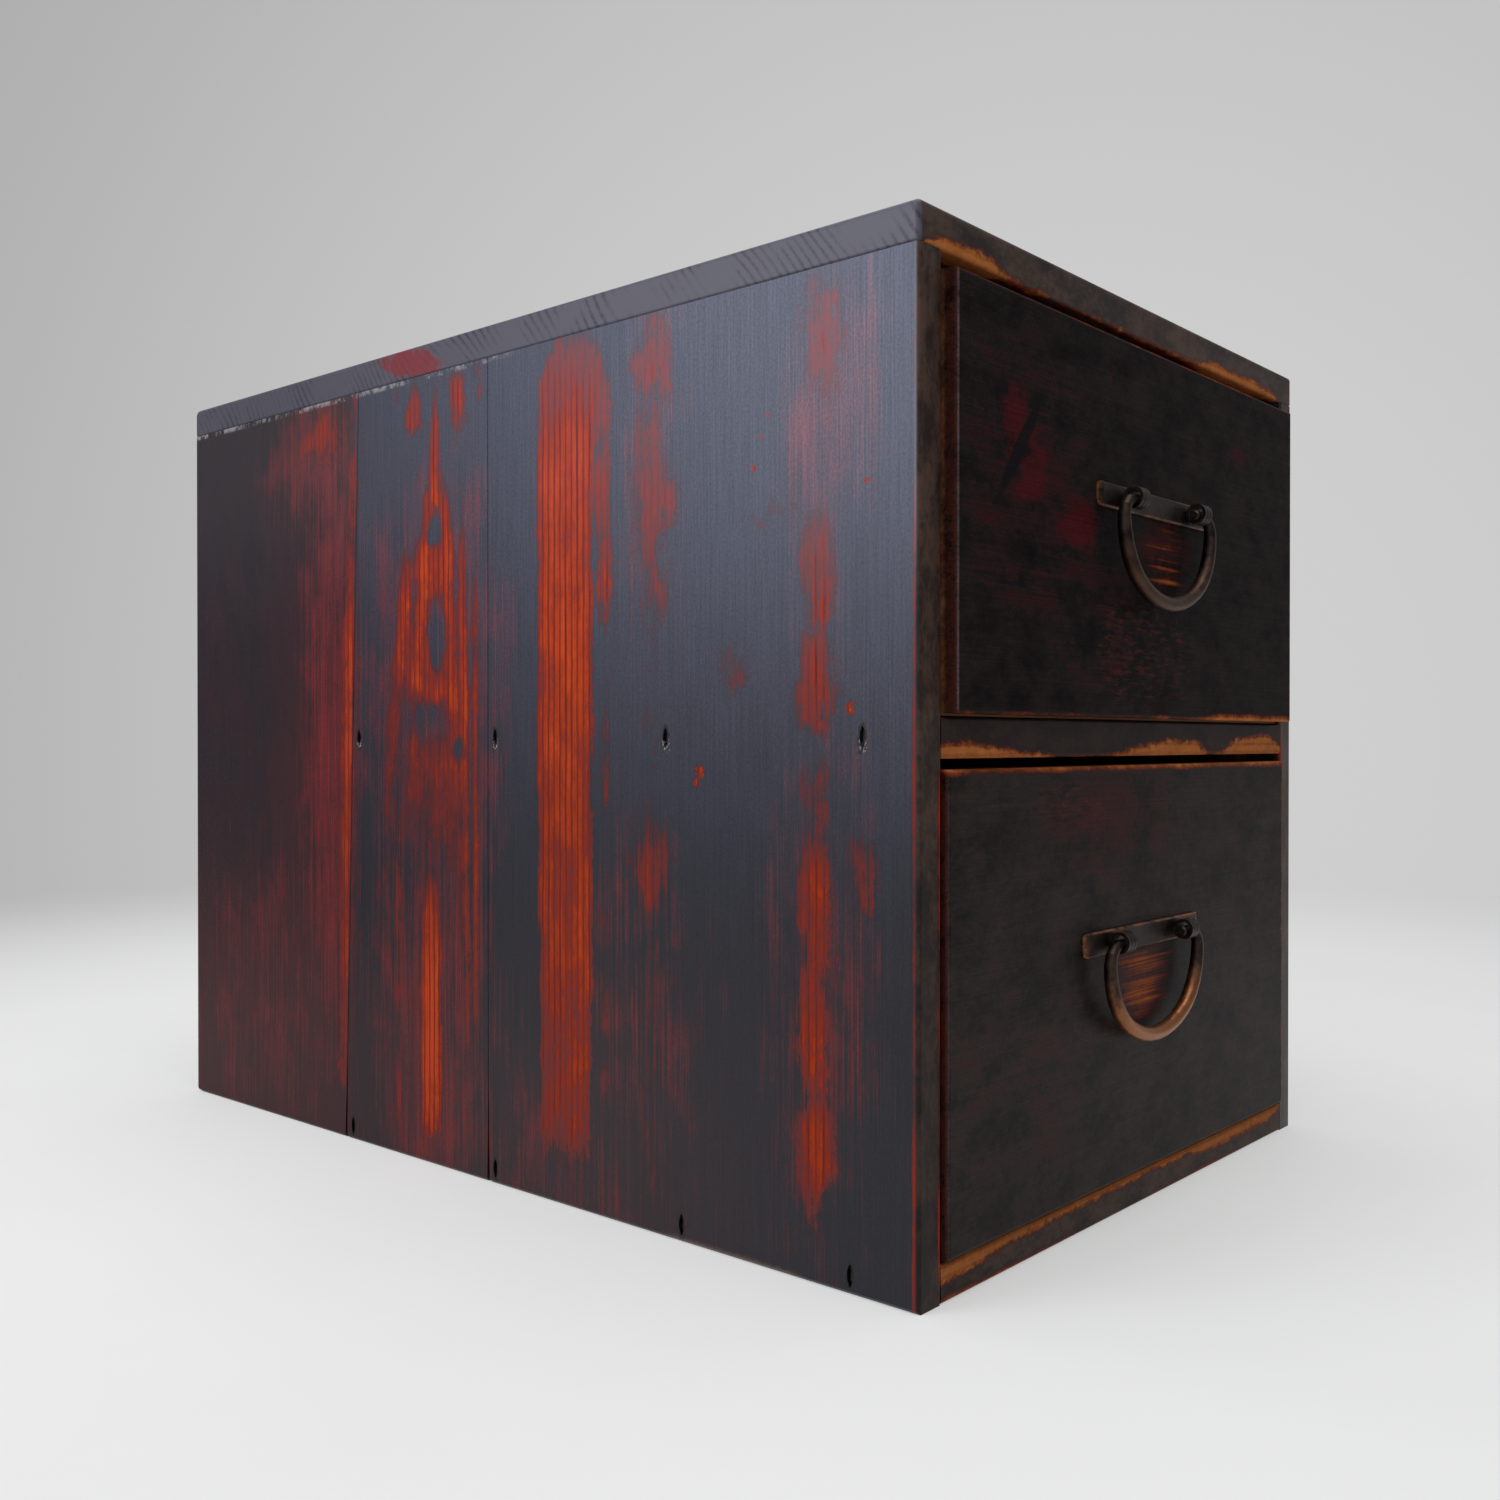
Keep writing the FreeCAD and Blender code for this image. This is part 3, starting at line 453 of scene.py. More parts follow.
def left_wear(finish, grain, back):
    """How far the lacquer of the left side has gone."""
    z = finish.z + grain.cloud * 7.0 + grain.sway * 9.0 + grain.fleck * 3.0
    across = back + grain.sway * 4.5 + grain.fleck * 2.2
    ragged = back + grain.fleck * 1.4
    worn = [streak(finish, ragged + grain.sway * wobble, z, centre, half, sides, lean, levels)
            for centre, half, sides, lean, wobble, levels in LEFT_STREAKS.values()]
    worn = finish.most(*worn, spots(finish, across, z, LEFT_PATCHES), left_seam_wear(finish, z))
    low_down = finish.step(finish.z + grain.cloud * 30.0, 170.0, 50.0)
    specks = finish.step(grain.fleck, 0.3, 0.8) * low_down * 0.5
    return worn - left_eyes(finish, grain, back) * 1.3 + grain.breaks - specks - 0.05


def rubbed_edges(finish, grain, back, outward, outer_levels, inner_levels):
    """Wear of a side board's outer and inner front arris."""
    heights = (0.0, CASE_HEIGHT)
    outer = finish.step(back, *SIDE_OUTER_ARRIS) * (finish.profile(finish.z, heights, outer_levels) + 0.75)
    inner = finish.step(outward, *SIDE_INNER_ARRIS) * (finish.profile(finish.z, heights, inner_levels) + 0.75)
    return outer - 1.0 + grain.breaks, inner - 1.0 + grain.breaks


def left_lacquer(finish, grain, back, bloom_and_sheen):
    """The lacquer of the left side: slate bloom with painted sheen above, brown below and behind, red haze by
    the streaks.
    """
    lacquer = finish.mix(bloom_and_sheen, LACQUER, LACQUER_BLOOM_AND_SHEEN)
    broad = finish.uneven((30.0, 34.0, 46.0), 6.0, 0.62, 15.0)
    reddish = finish.step(finish.z + broad * 90.0, 330.0, 60.0) * 0.75
    rear = finish.step(back + grain.sway * 4.0, 300.0, 316.0)
    rear_colour = finish.mix(reddish, LACQUER_REAR, LACQUER_REAR_RED)
    near_seam = finish.step(back, 400.0, 330.0)
    black = finish.step(broad * 0.7 + grain.cloud * 0.3 + near_seam * 0.8, 0.7, -0.3)
    black = black * finish.step(finish.z, 60.0, 150.0)
    lacquer = finish.mix(rear, lacquer, finish.mix(black * 0.75, rear_colour, LACQUER_REAR_BLACK))
    low = finish.step(finish.z + broad * 26.0, 120.0, 5.0) * finish.step(back, 20.0, 130.0)
    lacquer = finish.mix(low * 0.45, lacquer, LACQUER_LOW)
    haze = spots(finish, back + grain.sway * 5.0, finish.z + grain.sway * 14.0, LEFT_HAZE)
    haze = haze - left_eyes(finish, grain, back) * 0.8
    patchy = grain.cloud * 0.5 + grain.bundle * 0.5 + grain.fibre * 0.4 + broad * 0.3
    haze = finish.step(haze + patchy, 0.15, 1.3)
    # The red haze turns pinker towards the top front, with bloom and painted sheen
    lacquer = finish.mix(haze * 0.85, lacquer, finish.mix(bloom_and_sheen * bloom_and_sheen * 0.8, THIN_LACQUER, PINK_BLOOM_AND_SHEEN))
    return finish.shade(lacquer, fibre_shade(finish, grain))


def torn_wood(finish, grain, back, colour):
    """Adds ragged dark wood round the left side's nails, with pale splinters below those of the shelf."""
    shelf_nails = [(place, SHELF_MIDDLE) for place in SHELF_NAILS]
    nails = shelf_nails + [(place, BOTTOM_MIDDLE) for place in BOTTOM_NAILS]
    across = back + grain.grit * 0.8
    torn = spots(finish, across, finish.z + grain.fleck * 3.0, [(nail, TORN_HALF, 1.0) for nail in nails])
    splinters = [(nail, SPLINTER_HALF, 1.0) for nail in shelf_nails]
    splinters = spots(finish, across, finish.z + SPLINTERS_BELOW, splinters)
    colour = finish.mix(finish.step(torn + grain.fleck * 1.2, 0.2, 0.5) * 0.85, colour, TORN_BLACK)
    return finish.mix(finish.step(splinters + grain.grit * 1.6, 0.7, 1.0) * 0.6, colour, PALE_CRUST_AND_HIGHLIGHT)


def left_details(finish, grain, back, edge, colour):
    """Adds the rubbed foot, a painted highlight on the upper front arris, the pale crust under the top and
    the torn wood.
    """
    foot = finish.step(finish.z + grain.fleck, 2.6, 1.0)
    foot = foot * finish.step(abs(back - FOOT_RUB_MIDDLE), *FOOT_RUB_ENDS)
    colour = finish.mix(foot * 0.6, colour, DULL_BROWN)
    # Painted highlight along the upper front arris
    painted_arris_highlight = finish.step(back, 2.2, 1.2) * (1 - edge)
    painted_arris_highlight = painted_arris_highlight * finish.step(finish.z + grain.cloud * 30.0, 215.0, 270.0)
    colour = finish.mix(painted_arris_highlight * 0.35, colour, PALE_CRUST_AND_HIGHLIGHT)
    crust = finish.step(abs(finish.z - SIDE_TOP + 0.6), 2.0, 0.6)
    crust = crust * finish.step(grain.fleck + grain.cloud, -0.1, 0.5)
    colour = finish.mix(crust * finish.step(back, 190.0, 215.0) * 0.7, colour, PALE_CRUST_AND_HIGHLIGHT)
    return torn_wood(finish, grain, back, colour)


def fibre_shade(finish, grain):
    """How the fine fibres and specks darken and lighten a board."""
    return finish.ramp(grain.fibre * 0.26 + grain.grit * 0.22 + 0.5, [(0.3, 0.66), (0.5, 1.0), (0.7, 1.4)])


def side_inside(finish, grain, outward):
    """1 on the bare inner face of a side, from a little behind its front edge."""
    behind_front = finish.step(finish.y + grain.sway * 5.0, *BARE_BEHIND_FRONT)
    return finish.step(outward, *SIDE_INNER_FACE) * behind_front


def worn_relief(finish, grain, wear):
    """Fine fibres and grit, with worn wood a little lower than the lacquer."""
    return grain.fibre * 0.15 + grain.grit * 0.2 - finish.step(wear, 0.2, 0.6) * 0.3


def side_relief(finish, grain, wear, lines):
    """The relief of a side, with its lines of late wood where the lacquer has gone."""
    return worn_relief(finish, grain, wear) - lines * finish.step(wear, 0.2, 0.6) * 0.2


def grain_lines(finish, grain, across):
    """The dark lines of late wood, as far across the grain as the value says."""
    rings = finish.math("SINE", (across + grain.sway * 0.5) * (2 * math.pi / LATEWOOD_PITCH))
    return finish.step(rings + grain.bundle * 0.5, 0.15, 1.0) * (grain.bundle * 0.3 + 0.75)


def left_side_finish():
    """The left side: broad streaks along the grain where the lacquer has gone."""
    finish = Finish("left_side_lacquer")
    grain = Grain(finish, True, 0.0)
    back = finish.y - FRONT_Y
    outward = finish.x * -1.0
    outer, inner = rubbed_edges(finish, grain, back, outward, LEFT_OUTER_WEAR, LEFT_INNER_WEAR)
    chips = spots(finish, back + grain.fleck * 1.5, finish.z, LEFT_CHIPS)
    wear = finish.most(left_wear(finish, grain, back), outer, chips + grain.grit)
    edge = finish.step(back, *SIDE_FRONT_EDGE)
    wear = wear * (1 - edge) + inner * edge
    # Slate bloom with painted sheen: lighter towards the top and the front
    bloom_and_sheen = finish.step(finish.z + grain.cloud * 16.0, 80.0, 360.0) * finish.step(back, 560.0, -60.0)
    edge_level = finish.ramp(finish.z / CASE_HEIGHT, [(0.1, 0.6), (0.6, 1.1)])
    front_edge = finish.shade(edge_lacquer(finish, grain), edge_level)
    lacquer = finish.mix(edge, left_lacquer(finish, grain, back, bloom_and_sheen), front_edge)

    lines = grain_lines(finish, grain, back)
    colour = worn_colour(finish, wear, lacquer, lines, SIDE_FILM, darker_below(finish, wear) + edge * 0.6)
    # A pinkish veil of bloom and painted sheen over the worn wood near the top front
    bloom_and_sheen_veil = finish.step(bloom_and_sheen, 0.3, 1.0) * finish.step(wear, 0.1, 0.4) * (1 - edge) * 0.36
    colour = finish.mix(bloom_and_sheen_veil, colour, PINK_BLOOM_AND_SHEEN)
    colour = left_details(finish, grain, back, edge, colour)
    inside = side_inside(finish, grain, outward)
    relief = side_relief(finish, grain, wear, lines)
    below_top = finish.step(finish.z + grain.cloud * 20.0, 310.0, 220.0)
    dull_rear = finish.step(back, 120.0, 320.0) * below_top * 0.65
    polish = (1 - dull_rear) * (1 - edge * 0.7)
    return lacquered(finish, colour, wear, SIDE_GLOSS, relief, inside, old_wood(finish, GRAIN_Z), polish)


# The right side's wear, in the same terms as the left side's
RIGHT_STREAKS = {
    "band": (94.0, 13.0, 6.0, 0.0, 1.6, [
        (20, 0.0), (40, 0.5), (110, 0.85), (230, 0.9), (275, 0.6), (310, 0.3), (336, 0.1)]),
    "narrow streak": (241.0, 6.0, 2.0, 0.03, 3.0, [
        (90, 0.0), (140, 0.3), (180, 0.6), (210, 0.3), (250, 0.0)]),
}
RIGHT_PATCHES = [
    ((226, 300), (11, 26), 0.45), ((252, 92), (12, 40), 0.5), ((356, 52), (17, 44), 0.5),
    ((118, 282), (8, 22), 0.4), ((344, 268), (24, 18), 0.3), ((30, 196), (9, 22), 0.5),
    ((38, 60), (10, 26), 0.5),
]
RIGHT_OUTER_WEAR = [(0, 0.9), (80, 0.7), (250, 0.6), (330, 0.3)]
RIGHT_INNER_WEAR = [(8, 0.4), (20, 0.9), (165, 0.9), (180, 0.5), (330, 0.4)]


def right_side_finish():
    """The right side: fewer and narrower streaks."""
    finish = Finish("right_side_lacquer")
    grain = Grain(finish, True, 21.0)
    back = finish.y - FRONT_Y
    z = finish.z + grain.cloud * 7.0 + grain.sway * 9.0
    worn = [streak(finish, back + grain.sway * wobble, z, centre, half, sides, lean, levels)
            for centre, half, sides, lean, wobble, levels in RIGHT_STREAKS.values()]
    worn = finish.most(*worn, spots(finish, back + grain.sway * 4.5, z, RIGHT_PATCHES))
    outer, inner = rubbed_edges(finish, grain, back, finish.x, RIGHT_OUTER_WEAR, RIGHT_INNER_WEAR)
    wear = finish.most(worn + grain.breaks, outer)
    edge = finish.step(back, *SIDE_FRONT_EDGE)
    wear = wear * (1 - edge) + inner * edge
    # Slate bloom with painted sheen: lighter towards the top
    bloom_and_sheen = finish.step(finish.z + grain.cloud * 20.0, 110.0, 330.0)
    low = finish.step(finish.z + grain.cloud * 26.0, 120.0, 5.0)
    lacquer = finish.mix(bloom_and_sheen * 0.6, LACQUER, LACQUER_BLOOM_AND_SHEEN)
    lacquer = finish.mix(low * 0.6, lacquer, LACQUER_LOW)
    haze = finish.step(worn + grain.breaks * 1.3, -0.6, 0.6) * 0.6
    lacquer = finish.shade(finish.mix(haze, lacquer, THIN_LACQUER), fibre_shade(finish, grain))
    lacquer = finish.mix(edge, lacquer, edge_lacquer(finish, grain))
    lines = grain_lines(finish, grain, back)
    colour = worn_colour(finish, wear, lacquer, lines, SIDE_FILM, darker_below(finish, wear))
    relief = side_relief(finish, grain, wear, lines)
    inside = side_inside(finish, grain, finish.x)
    return lacquered(finish, colour, wear, SIDE_GLOSS, relief, inside, old_wood(finish, GRAIN_Z))


def edge_band(finish, across, above, heights):
    """Wear that climbs from an edge to the height, in millimetres, that it has at each place across."""
    most = max(height for place, height in heights)
    shares = [(place, height / most) for place, height in heights]
    return (finish.profile(across, (-OUTER_X, OUTER_X), shares) * most - above) * 0.4


def ragged_edge(grain):
    """How unevenly, in millimetres, worn wood ends along an edge."""
    return grain.cloud * 2.2 + grain.fleck * 1.6


def level_board_finish(finish, grain, wear, lacquer, gloss, inside):
    """A board with its grain from left to right."""
    lines = grain_lines(finish, grain, finish.z + finish.y * 0.3) * 0.4
    stained = finish.ramp(grain.cloud * 0.3 + grain.fleck * 0.3 + 0.5, [(0.3, 1.05), (0.75, 0.55)])
    colour = worn_colour(finish, wear, lacquer, lines, FRONT_FILM, stained)
    relief = worn_relief(finish, grain, wear)
    return lacquered(finish, colour, wear, gloss, relief, inside, old_wood(finish, GRAIN_X))


# The red patch on the left end of the top: place, half sizes and lean
RED_PLACE = (265.0, 343.0)
RED_HALF = (25.0, 10.0)
RED_LEAN = 1.6


def end_grain(finish, grain):
    """The ends of the top's boards: slanting growth rings, and thin red lacquer on the left."""
    bend = finish.noise((90.0, 90.0, 90.0), 1.0, 0.5, 44.0) - 0.5
    across = finish.y - finish.z * 0.7 + bend * 45.0
    rings = finish.math("SINE", across * (2 * math.pi / RING_PITCH))
    rings = rings + finish.uneven((1.6, 1.6, 1.6), 4.0, 0.7, 46.0)
    shown = finish.step(finish.noise((26.0, 26.0, 26.0), 3.0, 0.6, 48.0), 0.38, 0.66) * 0.9
    colour = finish.mix(finish.step(rings, -0.2, 1.3) * shown, END_GRAIN, END_GRAIN_LINE)
    back = finish.y - FRONT_Y
    colour = finish.shade(colour, finish.ramp(back / CASE_DEPTH, [(0.35, 1.0), (0.8, 0.7)]))
    slant = (finish.z - RED_PLACE[1]) * RED_LEAN
    red = spot(back - slant, finish.z, RED_PLACE, RED_HALF, 1.0) + grain.fleck * 0.5 + grain.cloud * 0.7
    red = finish.step(red, 0.2, 0.8) * finish.step(finish.x, 10.0, -10.0)
    return finish.mix(red * 0.8, colour, END_GRAIN_RED)


def top_finish():
    """The top: dusty lacquer with end grain at its ends and a rubbed lower front edge."""
    finish = Finish("top_lacquer")
    grain = Grain(finish, False, 41.0)
    above = finish.z - SIDE_TOP + (finish.y - FRONT_Y) * 0.45
    lower = edge_band(finish, finish.x + grain.sway * 8.0, above + ragged_edge(grain), [
        (-151, 0.0), (-143, 5.5), (-112, 5.5), (-98, 2.4), (-60, 1.4), (20, 1.8), (48, 2.8), (62, 5.0),
        (120, 5.5), (132, 2.4), (142, 0.0)])
    on_front = finish.step(finish.y, FRONT_Y + 10.0, FRONT_Y + 6.0)
    on_top = finish.step(finish.z, CASE_HEIGHT - 0.6, CASE_HEIGHT - 0.2)
    end = finish.step(abs(finish.x), OUTER_X - 1.9, OUTER_X - 1.2)
    wear = lower * on_front * (1 - end)

    lacquer = finish.mix(finish.step(grain.fleck, 0.75, 0.95) * 0.7, edge_lacquer(finish, grain), PALE_CRUST_AND_HIGHLIGHT)
    broad = finish.uneven((110.0, 90.0, 90.0), 6.0, 0.65, 49.0)
    browned = finish.step(grain.cloud * 0.5 + grain.bundle * 0.5 + broad, -0.5, 0.7)
    worn_top = finish.mix(browned, LACQUER, LACQUER_BROWN)
    worn_top = finish.mix(finish.step(broad + grain.breaks * 0.6, 0.3, 1.2) * 0.35, worn_top, THIN_LACQUER)
    lacquer = finish.mix(end, finish.mix(on_top, lacquer, worn_top), end_grain(finish, grain))
    below = finish.step(finish.z, SIDE_TOP + 0.9, SIDE_TOP + 0.3)
    between_sides = finish.step(abs(finish.x), INNER_X + 1.0, INNER_X)
    inside = below * between_sides * finish.step(finish.y, FRONT_Y + 6.0, FRONT_Y + 12.0)
    return level_board_finish(finish, grain, wear, lacquer, TOP_GLOSS, inside)


def rail_finish():
    """The shelf between the drawers: its front edge is the rail, rubbed bare below."""
    finish = Finish("rail_lacquer")
    grain = Grain(finish, False, 51.0)
    lower = edge_band(finish, finish.x + grain.sway * 8.0, finish.z - RAIL_LOW + ragged_edge(grain), [
        (-148, 6.0), (-125, 6.5), (-100, 4.0), (-78, 2.2), (-62, 1.2), (-26, 1.2), (-5, 4.0), (22, 8.0),
        (48, 6.5), (62, 1.8), (76, 2.2), (90, 7.5), (128, 10.0), (138, 6.0), (144, 0.0)])
    wear = lower * finish.step(finish.y, FRONT_Y + 8.0, FRONT_Y + 3.0)
    inside = finish.step(finish.y + ragged_edge(grain), FRONT_Y + 5.0, FRONT_Y + 10.0)
    lacquer = finish.mix(0.3, LACQUER_BROWN, edge_lacquer(finish, grain))
    return level_board_finish(finish, grain, wear, lacquer, EDGE_GLOSS, inside)


def bottom_finish():
    """The bottom: its front edge is rubbed along both arrises."""
    finish = Finish("bottom_lacquer")
    grain = Grain(finish, False, 61.0)
    upper = edge_band(finish, finish.x + grain.sway * 8.0, BOTTOM_HIGH - finish.z + ragged_edge(grain), [
        (-150, 6.0), (-141, 7.0), (-110, 6.0), (-90, 5.0), (-50, 4.4), (0, 4.2), (40, 4.8), (62, 6.5),
        (125, 7.0), (142, 3.0)])
    lower = edge_band(finish, finish.x + grain.sway * 8.0, finish.z + ragged_edge(grain) * 0.6, [
        (-150, 0.0), (-139, 2.4), (-60, 2.2), (-42, 0.6), (-5, 0.6), (8, 2.2), (92, 2.2), (100, 0.4)])
    wear = finish.most(upper, lower) * finish.step(finish.y, FRONT_Y + 8.0, FRONT_Y + 3.0)
    inside = finish.step(finish.y + ragged_edge(grain), FRONT_Y + 5.0, FRONT_Y + 10.0)
    return level_board_finish(finish, grain, wear, edge_lacquer(finish, grain), EDGE_GLOSS, inside)


def front_wear(finish, grain, behind, facts, marks):
    """How far the lacquer of a drawer front has gone, behind the bail and along the arrises."""
    rubbed = spots(finish, finish.x, finish.z, marks["rubbed"]) + grain.bundle * 0.9 + grain.fleck * 0.3
    ragged = ragged_edge(grain) * 0.5
    low = edge_band(finish, finish.x, finish.z - facts["low"] + behind * 0.5 + ragged, marks["low arris"])
    high = edge_band(finish, finish.x, facts["high"] - finish.z + behind * 0.35 + ragged, marks["high arris"])
    right = finish.step(finish.x + ragged * 0.5, *DRAWER_RIGHT_ARRIS) * (marks["right arris"] + 0.9)
    left = finish.step(finish.x + ragged * 0.5, *DRAWER_LEFT_ARRIS) * (marks["left arris"] + 0.9)
    return finish.most(rubbed, low, high, finish.most(right, left) - 1.0 + grain.breaks)


def front_lacquer(finish, grain, marks):
    """The lacquer of a drawer front: near black, with red haze, crimson patches, strokes, dull flecks and a
    painted glint.
    """
    x = finish.x + grain.sway * 7.0 + grain.cloud * 5.0
    z = finish.z + grain.cloud * 5.0
    haze = spots(finish, x, z, marks["haze"])
    haze = finish.step(haze + grain.cloud + grain.fleck * 0.4 + grain.fibre * 0.2, 0.2, 1.1)
    mottled = finish.step(grain.cloud + grain.fleck * 0.5, -0.7, 0.5)
    lacquer = finish.mix(mottled, FRONT_BLACK, marks["lacquer"])
    lacquer = finish.mix(haze * 0.8, lacquer, FRONT_RED)
    crimson = spots(finish, x, z, marks["patches"])
    crimson = finish.step(crimson + grain.cloud * 0.8 + grain.fleck * 0.3, 0.1, 0.8)
    lacquer = finish.mix(crimson * 0.75, lacquer, FRONT_CRIMSON)
    for stroke in marks["dark strokes"]:
        beside_stroke = finish.x - (finish.z - stroke[0][1]) * STROKE_LEAN + grain.fleck
        stroke_level = finish.step(spot(beside_stroke, finish.z, *stroke), 0.0, 0.5)
        lacquer = finish.mix(stroke_level * 0.9, lacquer, STROKE_BLACK)
    strokes = finish.uneven((8.0, 8.0, 2.0), 3.0, 0.7, 71.0)
    rough = finish.step(spots(finish, finish.x, finish.z, marks["rough"]) + grain.cloud * 0.6, 0.0, 0.7)
    lacquer = finish.mix(rough * finish.step(strokes, 0.0, 0.4) * 0.75, lacquer, ROUGH_BROWN)
    lacquer = finish.mix(rough * finish.step(strokes, -0.1, -0.5) * 0.8, lacquer, FRONT_BLACK)
    lacquer = finish.mix(finish.step(grain.fleck, 0.55, 0.85) * 0.4, lacquer, DULL_BROWN)
    end = finish.step(abs(finish.x), *DRAWER_FRONT_END)
    end = end * finish.step(grain.fleck + grain.cloud * 0.5, -0.8, 0.5)
    lacquer = finish.mix(end * 0.8, lacquer, DRAWER_END)
    # Painted highlight along the left arris
    glint = finish.step(abs(finish.x - DRAWER_GLINT_X), 0.5, 0.1) * finish.step(grain.cloud, -0.8, 0.4)
    lacquer = finish.mix(glint * marks["glint"], lacquer, ARRIS_GLINT)
    return finish.shade(lacquer, fibre_shade(finish, grain))


def drawer_front_finish(name, facts, marks):
    """A drawer front: near-black lacquer, rubbed at its arrises and behind the bail."""
    finish = Finish(f"{name}_front_lacquer")
    grain = Grain(finish, False, facts["low"])
    behind = finish.y - facts["face_y"]
    wear = front_wear(finish, grain, behind, facts, marks)
    lacquer = front_lacquer(finish, grain, marks)
    inside = finish.step(behind + ragged_edge(grain) * 0.5, 4.0, 8.0)
    return level_board_finish(finish, grain, wear, lacquer, marks["gloss"], inside)


def bare_finish(name, grain):
    """Plain aged softwood, as inside the drawers."""
    finish = Finish(name)
    tone = finish.noise((60.0, 60.0, 60.0), 4.0, 0.6, 1.0)
    colour = finish.shade(old_wood(finish, grain), finish.ramp(tone, [(0.3, 0.72), (0.7, 1.05)]))
    fine = finish.noise(tuple(size * 0.3 for size in grain), 3.0, 0.6, 2.0)
    return finish.done(base_color=colour, roughness=0.78, specular_ior_level=WOOD_SPECULAR,
                       normal=finish.bump(fine, WOOD_RELIEF))


def back_finish():
    """The back: boards stained dark once and never polished."""
    finish = Finish("back_stain")
    tone = finish.noise((60.0, 60.0, 60.0), 4.0, 0.6, 11.0)
    colour = finish.mix(finish.step(tone, 0.3, 0.7), BACK_DARK, BACK_BROWN)
    grain = finish.noise(GRAIN_X, 4.0, 0.6, 12.0)
    colour = finish.shade(colour, finish.ramp(grain, [(0.3, 0.7), (0.7, 1.1)]))
    inside = finish.step(finish.y, *BACK_INNER_FACE)
    colour = finish.mix(inside, colour, old_wood(finish, GRAIN_X))
    return finish.done(base_color=colour, roughness=0.8, specular_ior_level=WOOD_SPECULAR,
                       normal=finish.bump(grain, WOOD_RELIEF))


def nail_finish():
    """Old iron: black scale with brown rust."""
    finish = Finish("nail_rust")
    rust = finish.noise((1.2, 1.2, 1.2), 4.0, 0.65)
    colour = finish.ramp(rust, NAIL_RUST)
    return finish.done(base_color=colour, roughness=0.6 + rust * 0.3,
                       metallic=0.7 - finish.step(rust, 0.4, 0.7) * 0.6,
                       normal=finish.bump(rust, 0.4, 0.0003))


def peg_finish():
    """Split wooden pegs, a little paler than the boards."""
    finish = Finish("peg_wood")
    fibre = finish.noise((0.7, 0.7, 0.7), 4.0, 0.6)
    colour = finish.mix(finish.step(fibre, 0.3, 0.7), PEG_DARK, PEG_PALE)
    return finish.done(base_color=colour, roughness=0.75, specular_ior_level=WOOD_SPECULAR,
                       normal=finish.bump(fibre, WOOD_RELIEF))


def pull_finish(name, facts, rubbed_most, plate):
    """Brown bronze, dark in patches, copper-coloured where it is rubbed: a plate's edges, a bail's bow."""
    finish = Finish(name)
    pull_z = facts["pull_z"]
    cloud = finish.noise((7.0, 7.0, 7.0), 5.0, 0.65, pull_z)
    pitting = finish.noise((0.8, 0.8, 0.8), 3.0, 0.6, pull_z + 4.0)
    if plate:
        aside = abs(finish.x - facts["pull_x"]) - PLATE_HALF_LENGTH
        above = abs(finish.z - pull_z) - PLATE_HALF_HEIGHT
        edges = finish.most(finish.step(aside, -PLATE_END_SLOPE, 0.0), finish.step(above, -1.0, -0.2))
        rubbed = edges * finish.step(cloud, 0.35, 0.6)
    else:
        rubbed = finish.step(pull_z - finish.z + (cloud - 0.5) * 26.0, 12.0, 34.0)
    rubbed = rubbed * rubbed_most
    colour = finish.mix(finish.step(cloud, 0.35, 0.65), BRONZE_DARK, BRONZE)
    colour = finish.mix(rubbed, colour, BRONZE_RUBBED)
    return finish.done(base_color=colour, metallic=0.9, roughness=0.44 - rubbed * 0.1 + (cloud - 0.5) * 0.3,
                       normal=finish.bump(pitting, 0.2, 0.0002))


def paint(node, material):
    """Gives a CAD node its finish."""
    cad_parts[node].material_slots[0].material = material


def paint_case():
    """Finishes the boards and nails of the case."""
    left = left_side_finish()
    right = right_side_finish()
    for board in ("front", "middle", "rear"):
        paint(f"left_side_{board}_board", left)
        paint(f"right_side_{board}_board", right)
    finishes = {"top": top_finish(), "shelf": rail_finish(), "bottom": bottom_finish()}
    for name, finish in finishes.items():
        paint(f"{name}_front_board", finish)
        paint(f"{name}_rear_board", finish)
    back = back_finish()
    nails = nail_finish()
    for board in ("upper", "lower"):
        paint(f"back_{board}_board", back)
    for group in ("left_side", "right_side", "top", "back"):
        paint(f"{group}_nails", nails)


